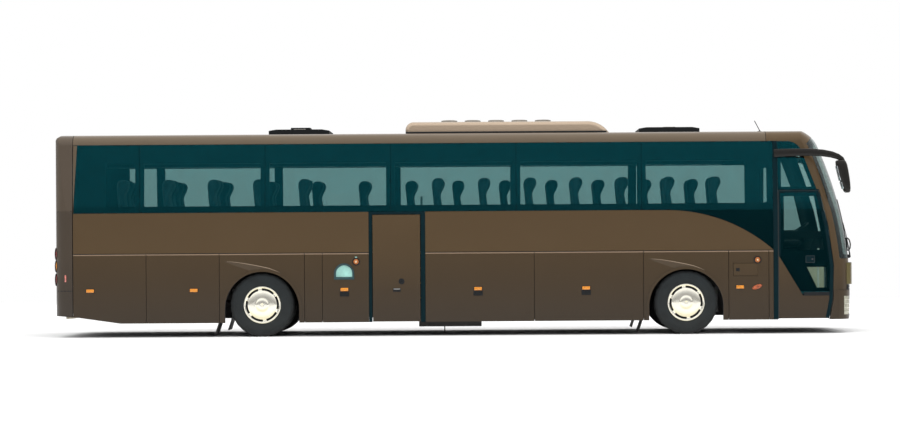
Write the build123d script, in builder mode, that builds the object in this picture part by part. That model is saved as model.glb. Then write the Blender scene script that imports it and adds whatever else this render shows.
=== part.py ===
from build123d import *
import os
from math import asin, cos, radians, sin, sqrt, tan

os.makedirs("parts", exist_ok=True)

# Overall size in millimetres: X runs forward, Y to the left, Z up from the road.
length = 12990
width = 2550
wheelbase = 6810
front_overhang = 2795
skirt_z = 225
groove_z = 1335
belt_z = 1995
roof_z = 3290

# Body form: wall, rounded edges, raked windscreen and bowed ends.
wall = 60
glass = 10
rest = 0.3
seam = 8
side_lean = 3.5
glass_drop = 195
roof_camber = 45
cove_radius = 170
nose_proud = 55
screen_foot_z = 1190
screen_bow = 6200
screen_lean = 6
dome_radius = 450
dome_turn = 84
slip = 5
tail_radius = 300
front_bow = 5000
front_corner = 300
rear_bow = 11600
rear_corner = 250
tuck_depth = 130
tuck_height = 190

# Side layout, counted from the axles and the ends.
rear_cap_depth = 352
arch_half = 684
arch_radius = 596
arch_centre_z = 448
lip_width = 45
lip_proud = 12
groove = 12
brow_bevel = 12
narrow_panel = 286
locker_width = 750
middle_door_width = 902
corner_panel = 645
fuel_setback = 173
fuel_width = 402
fuel_z = (926, 1136)
fuel_gap = 6
light_setback = 350
light_low_z = 952
light_sill = 57
light_radius = 131
front_door_setback = 1260
post_width = 70
dome_setback = 175
first_pane = 1073
front_pane = 2186
pillar = 140
window_foot = 105
window_head = 305
swoosh_radius = 2590
swoosh_run = 1785
departure_rise = 110
departure_run = 760
under_reach = 150

# Ends: mask, lamps, bumpers, lid.
bumper_top_z = 690
bumper_proud = 20
lamp_gap = 4
tow_y = -430
tow_z = 500
tow_rise = 120
tow_radius = 20
lamp_y = (600, 1190)
lamp_z = (300, 600)
nose_z = (785, 1130)
nose_half = 1120
rear_bumper_low_z = 358
rear_bumper_top_z = 753
lid_low_z = 800
lid_top_z = 2075
lid_half = 890
rear_glass_low_z = 2190
rear_glass_drop = 330
rear_glass_half = 1000
pillar_setback = 620
pillar_depth = 400
screen_half = 1245
screen_wrap = 280
screen_drop = 142
screen_lift = 12
screen_bend = 260
screen_heel = 20
driver_low_z = 1620
corner_bend = 250
sash = 55
cap_rim = 130
tail_y = 1030
tail_rows = (935, 1150, 1350)
tail_lamp_radius = 85
tail_proud = 16

# Doors: leaves carried on swinging arms.
front_door_low_z = 232
front_door_top_z = 2300
door_foot = 445
door_knee = 380
door_knee_z = 560
door_waist = 365
door_waist_z = 1100
door_mid = 455
door_mid_z = 1750
door_head = 590
door_glass_edge = 22
middle_door_top_z = 1946
door_gap = 10
arm_y = 1165
arm_reach_front = 500
arm_reach_middle = 430
arm_width = 30
arm_height = 40
pin_radius = 12
pole_radius = 20
pole_inset = 130

# Running gear.
tyre_radius = 510
tyre_half = 147
rim_radius = 287
tyre_outer_y = 1258
twin_pitch = 340
kingpin_y = 880
kingpin_radius = 25
spindle_radius = 45
hub_radius = 60
rail_z = 760
rail_depth = 120
rail_y = 420
rail_width = 80

# Inside: decks, stairs, racks, rows of seats.
deck = 50
platform_z = 1000
platform_run = 720
tread_low_z = 380
stair_y = 1195
front_stair_y = 665
middle_stair_y = 495
bay_floor_z = 340
plate = 20
bulkhead_offset = 700
seat_height = 1205
seat_outer_y = 1150
seat_inner_y = 290
rack_drop = 295
rack_height = 200
hinge_radius = 8

# Roof fittings.
cooler_setback = 318
cooler_length = 3380
cooler_nose = 230
cooler_heel = 130
cooler_bend = 420
cooler_rise = 165
cooler_half = 860
fan_setback = 1474
fan_radius = 130
fan_pitch = 388
fan_rise = 62
fan_count = 5
hatch_half = 500
hatch_length = 990
hatch_rise = 75
hatch_slope = 120
hatch_fall = 20
aerial_height = 198

front_x = length / 2 - nose_proud
rear_x = -length / 2
front_axle_x = length / 2 - front_overhang
rear_axle_x = front_axle_x - wheelbase
side_y = width / 2
glass_top_z = roof_z - glass_drop
screen_top_z = roof_z - screen_drop
rear_glass_top_z = roof_z - rear_glass_drop
window_low_z = belt_z + window_foot
window_top_z = glass_top_z - window_head
inner_y = side_y - wall
eave_z = roof_z - roof_camber
lean = tan(radians(side_lean))
rear_seam_x = rear_x + rear_cap_depth
front_door_x = front_x - front_door_setback
post_x = front_door_x - seam / 2 - post_width
dome_x = front_door_x - dome_setback
rear_arch = (rear_axle_x - arch_half, rear_axle_x + arch_half)
front_arch = (front_axle_x - arch_half, front_axle_x + arch_half)
locker_x = rear_arch[1] + narrow_panel
middle_door_x = locker_x + locker_width
bay_x = middle_door_x + middle_door_width
flap_split_x = (bay_x + front_arch[0]) / 2
rear_split_x = (rear_seam_x + rear_arch[0]) / 2
front_pillar_x = front_door_x - front_pane
rear_pillar_x = rear_seam_x + first_pane
pillar_pitch = (front_pillar_x - rear_pillar_x) / 4
pillars = [rear_pillar_x + pillar_pitch * i for i in range(5)]
corner_x = front_arch[1] + corner_panel
pillar_foot_x = front_x - pillar_setback
platform_x = front_door_x - platform_run
far = length

# The front in side view: the arc of the windscreen, then the arc of the dome.
screen_centre = (
    front_x - screen_bow * cos(radians(screen_lean)), screen_foot_z - screen_bow * sin(radians(screen_lean))
)
dome_centre_z = roof_z + slip - dome_radius
brow_turn = asin((dome_centre_z - screen_centre[1]) / (screen_bow - dome_radius))
dome_centre = (screen_centre[0] + (screen_bow - dome_radius) * cos(brow_turn), dome_centre_z)


def front_point(turn, inset=0):
    """A point of the front's side view, by the turn of its arc from upright."""
    centre, radius = (screen_centre, screen_bow) if turn < brow_turn else (dome_centre, dome_radius)
    return centre[0] + (radius - inset) * cos(turn), centre[1] + (radius - inset) * sin(turn)


def front_turn(z, inset=0):
    """How far the front has turned from upright at one height."""
    if z < front_point(brow_turn, inset)[1]:
        return asin((z - screen_centre[1]) / (screen_bow - inset))
    return asin((z - dome_centre[1]) / (dome_radius - inset))


def screen_back(z):
    """How far the front has curved back at one height."""
    return front_x - front_point(front_turn(z))[0]


def slab(x, y, z, mode=Mode.ADD):
    """A block between two stations on each axis."""
    with Locations(((x[0] + x[1]) / 2, (y[0] + y[1]) / 2, (z[0] + z[1]) / 2)):
        Box(x[1] - x[0], y[1] - y[0], z[1] - z[0], mode=mode)


def side_prism(points, y, mode=Mode.ADD, radii=0):
    """A side-view outline run across the body from y[0] to y[1]."""
    with BuildSketch(Plane.XZ.offset(-y[1])) as outline:
        with BuildLine():
            FilletPolyline(*points, radius=radii, close=True)
        make_face()
    extrude(outline.sketch, amount=y[1] - y[0], mode=mode)


def plan_outline(end_x, bow, corner, half, sign):
    """One bowed end of the body in plan, with its rounded corners."""
    centre = end_x - sign * bow
    edge = centre + sign * sqrt(bow**2 - half**2)
    with BuildSketch() as outline:
        with BuildLine():
            ThreePointArc((edge, -half), (end_x, 0), (edge, half))
            Polyline((edge, half), (0, half), (0, -half), (edge, -half))
        make_face()
        ends = outline.vertices().group_by(Axis.X)[-1 if sign > 0 else 0]
        fillet(ends, corner)
    return outline.sketch


def envelope(inset):
    """The outer form of the body, taken in by inset on every side."""
    half = side_y - inset
    low = skirt_z - 100 - inset
    top = roof_z - inset
    half_eave = half - (eave_z - inset - belt_z) * lean
    nose = front_x - inset
    tail = rear_x + inset
    with BuildPart() as form:
        with BuildSketch(Plane.YZ) as section:
            with BuildLine():
                Polyline(
                    (half_eave, eave_z - inset), (half, belt_z), (half, low),
                    (-half, low), (-half, belt_z), (-half_eave, eave_z - inset),
                )
                ThreePointArc((-half_eave, eave_z - inset), (0, top), (half_eave, eave_z - inset))
            make_face()
            fillet(section.vertices().group_by(Axis.Y)[-1], cove_radius - inset)
        extrude(amount=far, both=True)
        foot = nose + slip
        profile = [
            (tail - slip, low - slip), (nose - tuck_depth, low - slip), (nose - tuck_depth, skirt_z),
            (foot, skirt_z + tuck_height), (foot, top + slip), (tail - slip, top + slip),
        ]
        bends = [0, 0, 0, 150, 0, tail_radius - inset]
        side_prism(profile, (-width, width), Mode.INTERSECT, bends)
        rear_plan = plan_outline(tail, rear_bow, rear_corner - inset, half, -1)
        with BuildSketch(Plane.XY.offset(low - slip)):
            with Locations((-far / 2, 0)):
                Rectangle(far, far)
            add(rear_plan, mode=Mode.SUBTRACT)
        extrude(amount=roof_z, mode=Mode.SUBTRACT)
        front_plan = plan_outline(nose, front_bow, front_corner - inset, half, 1)
        with BuildSketch(Plane.XY.offset(low - slip)):
            with Locations((far / 2, 0)):
                Rectangle(far, far)
            add(front_plan, mode=Mode.SUBTRACT)
        extrude(amount=screen_foot_z - low + slip, mode=Mode.SUBTRACT)
        wide_plan = plan_outline(nose, front_bow, front_corner - inset, half + slip, 1)
        turns = [front_turn(screen_foot_z, inset), front_turn(belt_z, inset), brow_turn, radians(dome_turn)]
        start_x = front_point(turns[0], inset)[0]
        for side in (-1, 1):
            for first, last in zip(turns[:-1], turns[1:]):
                stations = []
                for turn in (first, (first + last) / 2, last):
                    x, z = front_point(turn, inset)
                    stations.append((x - start_x, -side * lean * max(z - belt_z, 0), z))
                x, y, z = stations[0]
                with BuildLine(mode=Mode.PRIVATE) as path:
                    ThreePointArc(*stations)
                with BuildSketch(Plane.XY.offset(z), mode=Mode.PRIVATE) as field:
                    with Locations((x + far / 2, y + side * far / 2)):
                        Rectangle(far, far)
                    with Locations((x, y)):
                        add(wide_plan, mode=Mode.SUBTRACT)
                sweep(field.sketch, path=path.line, normal=(0, 0, 1), mode=Mode.SUBTRACT)
    return form.part


outer = envelope(0)
inner = envelope(wall)
lined = envelope(wall + rest)
rebated = envelope(glass + rest)
glazed = envelope(glass)
raised = envelope(-lip_proud)

with BuildPart() as shell:
    add(outer)
    add(inner, mode=Mode.SUBTRACT)

with BuildPart() as pane_layer:
    add(outer)
    add(glazed, mode=Mode.SUBTRACT)

with BuildPart() as rebate_layer:
    add(raised)
    add(rebated, mode=Mode.SUBTRACT)

with BuildPart() as frame_layer:
    add(rebated)
    add(inner, mode=Mode.SUBTRACT)

with BuildPart() as lip_layer:
    add(raised)
    add(inner, mode=Mode.SUBTRACT)

# Front door outline, from its rear foot round to its rear head.
front_door_line = [
    (front_door_x, front_door_low_z),
    (front_x - door_foot, front_door_low_z),
    (front_x - door_knee, door_knee_z),
    (front_x - door_waist, door_waist_z),
    (front_x - door_mid, door_mid_z),
    (front_x - door_head, front_door_top_z),
    (front_door_x, front_door_top_z),
]
right_half = (-width, -600)
left_half = (600, width)


def pillar_line(z):
    """The rear edge of the raked front pillar at one height."""
    return front_x - pillar_depth - screen_back(z)


def shrunk(points, amount):
    """A side-view outline drawn in (or, if negative, out) by one amount."""
    with BuildSketch() as ring:
        with BuildLine():
            Polyline(*points, close=True)
        make_face()
        offset(amount=-amount, kind=Kind.INTERSECTION)
    return ring.sketch


def cut_prism(sketch, y, mode):
    """A sketch of the side view run across the body from y[0] to y[1]."""
    with BuildSketch(Plane.XZ.offset(-y[1])) as outline:
        add(sketch)
    extrude(outline.sketch, amount=y[1] - y[0], mode=mode)


# Roof: one cambered skin between the two coves.
with BuildPart() as roof:
    add(shell.part)
    slab((rear_seam_x, dome_x - seam), (-width, width), (glass_top_z + rest, roof_z + wall), Mode.INTERSECT)

# Side glass: one flush band a side, its panes parted by fine joints.
pane_edges = [rear_seam_x + seam, *pillars, post_x]
pane_low = belt_z + seam / 2
pane_top = glass_top_z - seam / 2
swoosh_x = front_door_x - swoosh_run
swoosh_centre_z = pane_low - swoosh_radius


def swoosh_z(x):
    """Height of the sweeping lower edge of the foremost side pane."""
    return swoosh_centre_z + sqrt(swoosh_radius**2 - (x - swoosh_x) ** 2)


def front_pane_sketch(grow):
    """The foremost pane, whose lower edge sweeps down towards the door."""
    x0 = pane_edges[-2] + seam / 2 - grow
    x1 = pane_edges[-1] - seam / 2 + grow
    mid = (swoosh_x + x1) / 2
    with BuildSketch() as outline:
        with BuildLine():
            Polyline((swoosh_x, pane_low - grow), (x0, pane_low - grow), (x0, pane_top), (x1, pane_top))
            Line((x1, pane_top), (x1, swoosh_z(x1) - grow))
            ThreePointArc((x1, swoosh_z(x1) - grow), (mid, swoosh_z(mid) - grow), (swoosh_x, pane_low - grow))
        make_face()
    return outline.sketch


transom_line = [
    (front_door_x + rest, front_door_top_z + rest),
    (pillar_line(front_door_top_z) - seam, front_door_top_z + rest),
    (pillar_line(pane_top) - seam, pane_top),
    (front_door_x + rest, pane_top),
]
driver_line = [
    (front_door_x + seam, driver_low_z),
    (pillar_line(driver_low_z) - seam, driver_low_z),
    (pillar_line(front_door_top_z) - seam, front_door_top_z),
    (pillar_line(pane_top) - seam, pane_top),
    (front_door_x + seam, pane_top),
]
transom_bends = [0, 0, corner_bend, 0]
driver_bends = [0, 0, 0, corner_bend, 0]


def side_band(side):
    """All the fixed panes of one side."""
    y = right_half if side < 0 else left_half
    with BuildPart() as band:
        for x0, x1 in zip(pane_edges[:-2], pane_edges[1:-1]):
            slab((x0 + seam / 2, x1 - seam / 2), y, (pane_low, pane_top))
        cut_prism(front_pane_sketch(0), y, Mode.ADD)
        if side < 0:
            side_prism(transom_line, y, Mode.ADD, transom_bends)
        else:
            side_prism(driver_line, y, Mode.ADD, driver_bends)
        add(pane_layer.part, mode=Mode.INTERSECT)
    return band.part


with BuildPart() as side_glass_right:
    add(side_band(-1))

with BuildPart() as side_glass_left:
    add(side_band(1))


def side_windows(side):
    """The frame that carries the panes of one side, with its posts."""
    y = right_half if side < 0 else left_half
    with BuildPart() as frame:
        add(frame_layer.part)
        slab((rear_seam_x + seam, front_door_x - seam / 2), y, (belt_z, glass_top_z), Mode.INTERSECT)
        starts = [rear_pillar_x - first_pane / 2, *[x + pillar / 2 for x in pillars]]
        ends = [*[x - pillar / 2 for x in pillars], post_x - pillar / 2]
        for x0, x1 in zip(starts, ends):
            slab((x0, x1), y, (window_low_z, window_top_z), Mode.SUBTRACT)
    post_foot = skirt_z if side < 0 else belt_z
    posts = [((post_x, post_x + post_width), (post_foot, glass_top_z))]
    if side < 0:
        posts.append(((middle_door_x, middle_door_x + post_width - plate), (skirt_z, belt_z)))
        posts.append(((bay_x - post_width, bay_x), (skirt_z, belt_z)))
        posts.append(((middle_door_x, bay_x), (middle_door_top_z + seam, belt_z)))
    with BuildPart() as uprights:
        for x, z in posts:
            slab(x, y, z)
        add(shell.part, mode=Mode.INTERSECT)
    with BuildPart() as whole:
        add(frame.part)
        add(uprights.part)
    return whole.part


with BuildPart() as side_frame_right:
    add(side_windows(-1))

with BuildPart() as side_frame_left:
    add(side_windows(1))

# Side panels: the waist under the glass, then the fixed panels of the skirt.
panel_top = groove_z - rest
departure = [
    (rear_seam_x + departure_run, skirt_z - under_reach),
    (rear_seam_x + departure_run, skirt_z),
    (rear_seam_x, skirt_z + departure_rise),
    (rear_x - wall, rear_bumper_low_z),
    (rear_x - wall, skirt_z - under_reach),
]


def arch_cut(x, radius, y, mode):
    """The wheel opening about one axle."""
    with BuildSketch(Plane.XZ.offset(-y[1])) as opening:
        with Locations((x, arch_centre_z)):
            Circle(radius)
        with Locations((x, arch_centre_z / 2)):
            Rectangle(2 * radius, arch_centre_z)
    extrude(opening.sketch, amount=y[1] - y[0], mode=mode)


# Brow over a wheel opening: offset from the axle, rise over the lip, how far it stands out, its fall.
brow_rows = [(-590, 126, 1, 12), (-372, 105, 8, 70), (-129, 62, 11, 110), (115, 10, 13, 90), (300, -62, 13, 50)]


def brow(axle, side):
    """The tapering crease over one wheel opening, lofted through upright sections."""
    crown = arch_centre_z + arch_radius + lip_width
    with BuildPart() as crease:
        for along, rise, proud, fall in brow_rows:
            z = crown + rise
            section = [
                (side_y - wall / 2, z + brow_bevel), (side_y, z + brow_bevel), (side_y + proud, z),
                (side_y, z - fall), (side_y - wall / 2, z - fall),
            ]
            with BuildSketch(Plane.YZ.offset(axle + along)):
                with BuildLine():
                    Polyline(*[(side * y, z) for y, z in section], close=True)
                make_face()
        loft(ruled=True)
    return crease.part


def hinge_bead(x, side, top):
    """The round bead along the top edge of a skirt panel or flap."""
    middle = ((x[0] + x[1]) / 2, side * side_y, top - hinge_radius)
    with Locations(Location(middle, (0, 90, 0))):
        Cylinder(hinge_radius, x[1] - x[0] - seam)


def skirt_panels(side, spans, waists):
    """Waist and skirt of one side, as panels parted by fine seams."""
    y = right_half if side < 0 else left_half
    with BuildPart() as skins:
        for x0, x1 in spans:
            slab((x0 + seam / 2, x1 - seam / 2), y, (skirt_z, panel_top))
        for x0, x1 in waists:
            slab((x0 + seam / 2, x1 - seam / 2), y, (groove_z + groove, belt_z - rest))
        add(shell.part, mode=Mode.INTERSECT)
        side_prism(departure, y, Mode.SUBTRACT)
    with BuildPart() as swoosh:
        add(rebate_layer.part)
        cut_prism(front_pane_sketch(seam), y, Mode.INTERSECT)
    with BuildPart() as lips:
        for x in (rear_axle_x, front_axle_x):
            arch_cut(x, arch_radius + lip_width, y, Mode.ADD)
        slab((-far, far), y, (-skirt_z, skirt_z), Mode.SUBTRACT)
        add(lip_layer.part, mode=Mode.INTERSECT)
    with BuildPart() as panels:
        add(skins.part)
        add(swoosh.part, mode=Mode.SUBTRACT)
        add(lips.part)
        for x in (rear_axle_x, front_axle_x):
            add(brow(x, side))
        for span in spans:
            hinge_bead(span, side, panel_top)
        for x in (rear_axle_x, front_axle_x):
            arch_cut(x, arch_radius, y, Mode.SUBTRACT)
    return panels.part


shared_spans = [(rear_seam_x, rear_split_x), (rear_split_x, rear_arch[0]), rear_arch, front_arch]
right_spans = [*shared_spans, (rear_arch[1], locker_x), (front_arch[1], corner_x), (corner_x, post_x)]
left_spans = [*shared_spans, (front_arch[1], corner_x)]
right_waists = [(rear_seam_x, middle_door_x), (bay_x, post_x)]
left_waists = [(rear_seam_x, front_door_x)]
fuel_x = (corner_x - fuel_setback - fuel_width, corner_x - fuel_setback)

with BuildPart() as side_panels_right:
    add(skirt_panels(-1, right_spans, right_waists))
    slab(fuel_x, right_half, fuel_z, Mode.SUBTRACT)

with BuildPart() as driver_panel:
    add(shell.part)
    side_prism(
        [
            (corner_x + seam / 2, skirt_z), (front_x - door_foot - seam, skirt_z),
            (front_x - door_knee - seam, door_knee_z), (front_x - door_waist - seam, panel_top),
            (corner_x + seam / 2, panel_top),
        ],
        left_half, Mode.INTERSECT,
    )

with BuildPart() as side_panels_left:
    add(skirt_panels(1, left_spans, left_waists))
    add(driver_panel.part)

# Flaps of the luggage bays and lockers, hung along the groove.
flap_top = panel_top - rest / 3


def flap(x, side):
    """One top-hung flap between two seams."""
    with BuildPart() as leaf:
        add(shell.part)
        y = right_half if side < 0 else left_half
        slab((x[0] + seam / 2, x[1] - seam / 2), y, (skirt_z, flap_top), Mode.INTERSECT)
        hinge_bead(x, side, flap_top)
    return leaf.part


light_x = locker_x + light_setback
left_step = (front_arch[0] - rear_arch[1]) / 3
left_seams = [rear_arch[1] + left_step * i for i in range(4)]

with BuildPart() as locker_flap_right:
    add(flap((locker_x, middle_door_x), -1))
    with BuildSketch(Plane.XZ):
        with Locations((light_x, light_low_z)):
            Rectangle(2 * light_radius, light_sill, align=(Align.CENTER, Align.MIN))
        with Locations((light_x, light_low_z + light_sill)):
            Circle(light_radius)
        with Locations((light_x, light_low_z)):
            Rectangle(3 * light_radius, light_radius, align=(Align.CENTER, Align.MAX), mode=Mode.SUBTRACT)
    extrude(amount=width, mode=Mode.SUBTRACT)

with BuildPart() as luggage_flap_right_rear:
    add(flap((bay_x, flap_split_x), -1))

with BuildPart() as luggage_flap_right_front:
    add(flap((flap_split_x, front_arch[0]), -1))

with BuildPart() as luggage_flap_left_rear:
    add(flap((left_seams[0], left_seams[1]), 1))

with BuildPart() as luggage_flap_left_middle:
    add(flap((left_seams[1], left_seams[2]), 1))

with BuildPart() as luggage_flap_left_front:
    add(flap((left_seams[2], left_seams[3]), 1))

with BuildPart() as fuel_flap:
    add(shell.part)
    fuel_leaf_z = (fuel_z[0] + fuel_gap, fuel_z[1] - fuel_gap)
    slab((fuel_x[0] + fuel_gap, fuel_x[1] - rest), right_half, fuel_leaf_z, Mode.INTERSECT)
    with Locations((fuel_x[1] - rest - hinge_radius, -side_y, (fuel_z[0] + fuel_z[1]) / 2)):
        Cylinder(hinge_radius, fuel_leaf_z[1] - fuel_leaf_z[0])

# Front mask: dome, raked pillars, the wall under the windscreen.
def screen_zone(grow):
    """The windscreen's field: bounded by the raked pillars, rounded at its upper corners."""
    low = screen_foot_z + screen_lift - grow
    top = screen_top_z + grow
    bends = [screen_heel, screen_heel, screen_bend, screen_bend]
    with BuildPart() as field:
        with BuildSketch(Plane.YZ):
            with BuildLine():
                FilletPolyline(
                    (-screen_half - grow, low), (screen_half + grow, low), (screen_half + grow, top),
                    (-screen_half - grow, top), radius=bends, close=True,
                )
            make_face()
        extrude(amount=far)
        heights = (screen_foot_z, (screen_foot_z + front_point(brow_turn)[1]) / 2, front_point(brow_turn)[1], roof_z)
        edge = [(front_x - screen_wrap - grow - screen_back(z), z) for z in heights]
        with BuildSketch(Plane.XZ.offset(-width)) as wrap:
            with BuildLine():
                Polyline((edge[0][0], 0), edge[0])
                ThreePointArc(*edge[:3])
                Polyline(*edge[2:], (far, roof_z), (far, 0), (edge[0][0], 0))
            make_face()
        extrude(wrap.sketch, amount=2 * width, mode=Mode.INTERSECT)
    return field.part


with BuildPart() as screen_recess:
    add(rebate_layer.part)
    add(screen_zone(seam / 2), mode=Mode.INTERSECT)

with BuildPart() as front_side_recess:
    side_prism(transom_line, right_half, Mode.ADD, transom_bends)
    side_prism(driver_line, left_half, Mode.ADD, driver_bends)
    add(rebate_layer.part, mode=Mode.INTERSECT)

with BuildPart() as mask_skin:
    add(shell.part)
    side_prism(
        [
            (dome_x, glass_top_z + rest), (dome_x, roof_z + wall), (far, roof_z + wall),
            (far, bumper_top_z + rest), (front_door_x, bumper_top_z + rest),
            (front_door_x, glass_top_z + rest),
        ],
        (-width, width), Mode.INTERSECT,
    )
    side_prism(front_door_line, right_half, Mode.SUBTRACT)
    side_prism(
        [
            (dome_x, skirt_z), (front_x - door_foot, skirt_z), (front_x - door_knee, door_knee_z),
            (front_x - door_waist, groove_z), (dome_x, groove_z),
        ],
        left_half, Mode.SUBTRACT,
    )

with BuildPart() as front_mask:
    add(mask_skin.part)
    add(screen_recess.part, mode=Mode.SUBTRACT)
    add(screen_zone(-wall), mode=Mode.SUBTRACT)
    add(front_side_recess.part, mode=Mode.SUBTRACT)
    cut_prism(shrunk(transom_line, sash), right_half, Mode.SUBTRACT)
    cut_prism(shrunk(driver_line, sash), left_half, Mode.SUBTRACT)

with BuildPart() as nose_panel:
    add(envelope(-nose_proud))
    add(envelope(-rest), mode=Mode.SUBTRACT)
    slab((pillar_foot_x, far), (-nose_half, nose_half), nose_z, Mode.INTERSECT)

with BuildPart() as front_panel:
    add(nose_panel.part)

with BuildPart() as windscreen:
    add(pane_layer.part)
    add(screen_zone(0), mode=Mode.INTERSECT)

with BuildPart() as headlamps:
    add(envelope(lamp_gap - bumper_proud))
    add(envelope(wall + bumper_proud), mode=Mode.SUBTRACT)
    with BuildPart(mode=Mode.PRIVATE) as lamp_zone:
        for side in (-1, 1):
            across = sorted((side * (lamp_y[0] + lamp_gap), side * (lamp_y[1] - lamp_gap)))
            slab((pillar_foot_x, far), across, (lamp_z[0] + rest, lamp_z[1] - lamp_gap))
    add(lamp_zone.part, mode=Mode.INTERSECT)

with BuildPart() as front_bumper:
    add(envelope(-bumper_proud))
    add(inner, mode=Mode.SUBTRACT)
    side_prism(
        [
            (front_x - door_foot + seam, skirt_z), (far, skirt_z), (far, bumper_top_z),
            (front_x - door_knee + seam, bumper_top_z), (front_x - door_knee + seam, door_knee_z),
        ],
        (-side_y, side_y), Mode.INTERSECT,
    )
    with BuildSketch(Plane.YZ.offset(front_x - front_corner)):
        with Locations((tow_y, tow_z)):
            Circle(tow_radius)
    extrude(amount=2 * front_corner, mode=Mode.SUBTRACT)
    for side in (-1, 1):
        slab((pillar_foot_x, far), sorted((side * lamp_y[0], side * lamp_y[1])), lamp_z, Mode.SUBTRACT)

# Rear: cap, window, lamps, bumper and the lid over the engine.
with BuildPart() as cap_skin:
    add(shell.part)
    cap_z = (rear_bumper_top_z + rest, roof_z + wall)
    slab((-far, rear_seam_x - seam), (-width, width), cap_z, Mode.INTERSECT)

with BuildPart() as rear_recess:
    add(rebate_layer.part)
    slab(
        (-far, rear_seam_x), (-rear_glass_half - seam / 2, rear_glass_half + seam / 2),
        (rear_glass_low_z - seam / 2, rear_glass_top_z + seam / 2), Mode.INTERSECT,
    )

tail_x = rear_x + rear_bow - sqrt(rear_bow**2 - tail_y**2)
tail_places = [(side * tail_y, z) for side in (-1, 1) for z in tail_rows]

with BuildPart() as rear_cap:
    add(cap_skin.part)
    slab(
        (-far, rear_seam_x - cap_rim), (-lid_half - seam, lid_half + seam),
        (lid_low_z - seam, lid_top_z + rest), Mode.SUBTRACT,
    )
    add(rear_recess.part, mode=Mode.SUBTRACT)
    slab(
        (-far, rear_seam_x - cap_rim), (-rear_glass_half + wall, rear_glass_half - wall),
        (rear_glass_low_z + wall, rear_glass_top_z - wall), Mode.SUBTRACT,
    )
    with BuildSketch(Plane.YZ.offset(tail_x - wall)):
        with Locations(*tail_places):
            Circle(tail_lamp_radius + rest)
    extrude(amount=wall * 3, mode=Mode.SUBTRACT)

with BuildPart() as rear_window:
    add(pane_layer.part)
    slab(
        (-far, rear_seam_x), (-rear_glass_half, rear_glass_half),
        (rear_glass_low_z, rear_glass_top_z), Mode.INTERSECT,
    )

with BuildPart() as tail_lamps:
    with BuildSketch(Plane.YZ.offset(tail_x - tail_proud)):
        with Locations(*tail_places):
            Circle(tail_lamp_radius)
    extrude(amount=wall)
    fillet(tail_lamps.edges().group_by(Axis.X)[0], tail_proud / 2)

with BuildPart() as engine_lid:
    add(shell.part)
    slab((-far, rear_seam_x - cap_rim), (-lid_half, lid_half), (lid_low_z, lid_top_z), Mode.INTERSECT)

with BuildPart() as rear_bumper:
    add(shell.part)
    slab((-far, rear_seam_x - seam), (-width, width), (skirt_z, rear_bumper_top_z), Mode.INTERSECT)
    side_prism(departure, (-width, width), Mode.SUBTRACT)
    with BuildSketch(Plane.YZ.offset(rear_x - wall)):
        with Locations((tow_y, rear_bumper_low_z + tow_rise)):
            Circle(tow_radius)
    extrude(amount=wall * 4, mode=Mode.SUBTRACT)

# Front door: a leaf with one large pane, on two arms from an upright pole.
front_pole = (front_x - 495, -arm_y)
front_pin = (front_pole[0] - arm_reach_front, -arm_y)
front_arms_z = (520, 1170)
middle_pole = (middle_door_x + pole_inset + wall / 2, -arm_y)
middle_pin = (middle_pole[0] + arm_reach_middle, -arm_y)
middle_arms_z = (700, 1500)
pane_foot_z = 610
pane_heel = (862, 1235)
front_pane_line = [
    (front_door_x + door_glass_edge, pane_heel[1]),
    (front_x - pane_heel[0], pane_foot_z),
    (front_x - door_knee - door_glass_edge, pane_foot_z),
    (front_x - door_waist - door_glass_edge, door_waist_z),
    (front_x - door_mid - door_glass_edge, door_mid_z),
    (front_x - door_head - door_glass_edge, front_door_top_z - door_glass_edge),
    (front_door_x + door_glass_edge, front_door_top_z - door_glass_edge),
]
upper_light = [
    (front_door_x + 95, 1340), (front_x - 520, 1340), (front_x - 675, front_door_top_z - 95),
    (front_door_x + 95, front_door_top_z - 95),
]
lower_light = [(front_x - 800, 1065), (front_x - 640, 735), (front_x - 480, 735), (front_x - 480, 1065)]


def brackets(pin, heights):
    """Brackets on the inside of a door leaf, each with its upright pin."""
    for z in heights:
        slab((pin[0] - 30, pin[0] + 30), (-inner_y - wall / 2, -arm_y + 20), (z - 30, z - rest))
        with Locations((pin[0], pin[1], z + arm_height / 2)):
            Cylinder(pin_radius, arm_height + plate)


def door_arms(pole, pin, foot, head, heights):
    """An upright pole with two level arms, each ending in an eye."""
    with BuildPart() as arms:
        with Locations((pole[0], pole[1], (foot + head) / 2)):
            Cylinder(pole_radius, head - foot)
        for z in heights:
            across = (pole[1] - arm_width / 2, pole[1] + arm_width / 2)
            slab(sorted((pole[0], pin[0])), across, (z, z + arm_height))
            with Locations((pin[0], pin[1], z + arm_height / 2)):
                Cylinder(pin_radius * 2, arm_height)
        for z in heights:
            with Locations((pin[0], pin[1], z + arm_height / 2)):
                Cylinder(pin_radius + rest, arm_height * 2, mode=Mode.SUBTRACT)
    return arms.part


with BuildPart() as door_recess:
    add(rebate_layer.part)
    cut_prism(shrunk(front_pane_line, -4), right_half, Mode.INTERSECT)

with BuildPart() as front_door_leaf:
    add(shell.part)
    cut_prism(shrunk(front_door_line, door_gap), right_half, Mode.INTERSECT)

with BuildPart() as front_door:
    add(front_door_leaf.part)
    add(door_recess.part, mode=Mode.SUBTRACT)
    side_prism(upper_light, right_half, Mode.SUBTRACT)
    side_prism(lower_light, right_half, Mode.SUBTRACT)
    brackets(front_pin, front_arms_z)

with BuildPart() as front_door_glass:
    add(pane_layer.part)
    side_prism(front_pane_line, right_half, Mode.INTERSECT)

with BuildPart() as front_door_arms:
    add(door_arms(front_pole, front_pin, tread_low_z + rest, front_arms_z[1] + 80, front_arms_z))

# Middle door: a plain leaf on the same kind of arms, opening the other way.
with BuildPart() as middle_door:
    add(shell.part)
    slab(
        (middle_door_x + post_width - plate + door_gap, bay_x - post_width - door_gap), right_half,
        (front_door_low_z, middle_door_top_z), Mode.INTERSECT,
    )
    brackets(middle_pin, middle_arms_z)

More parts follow.
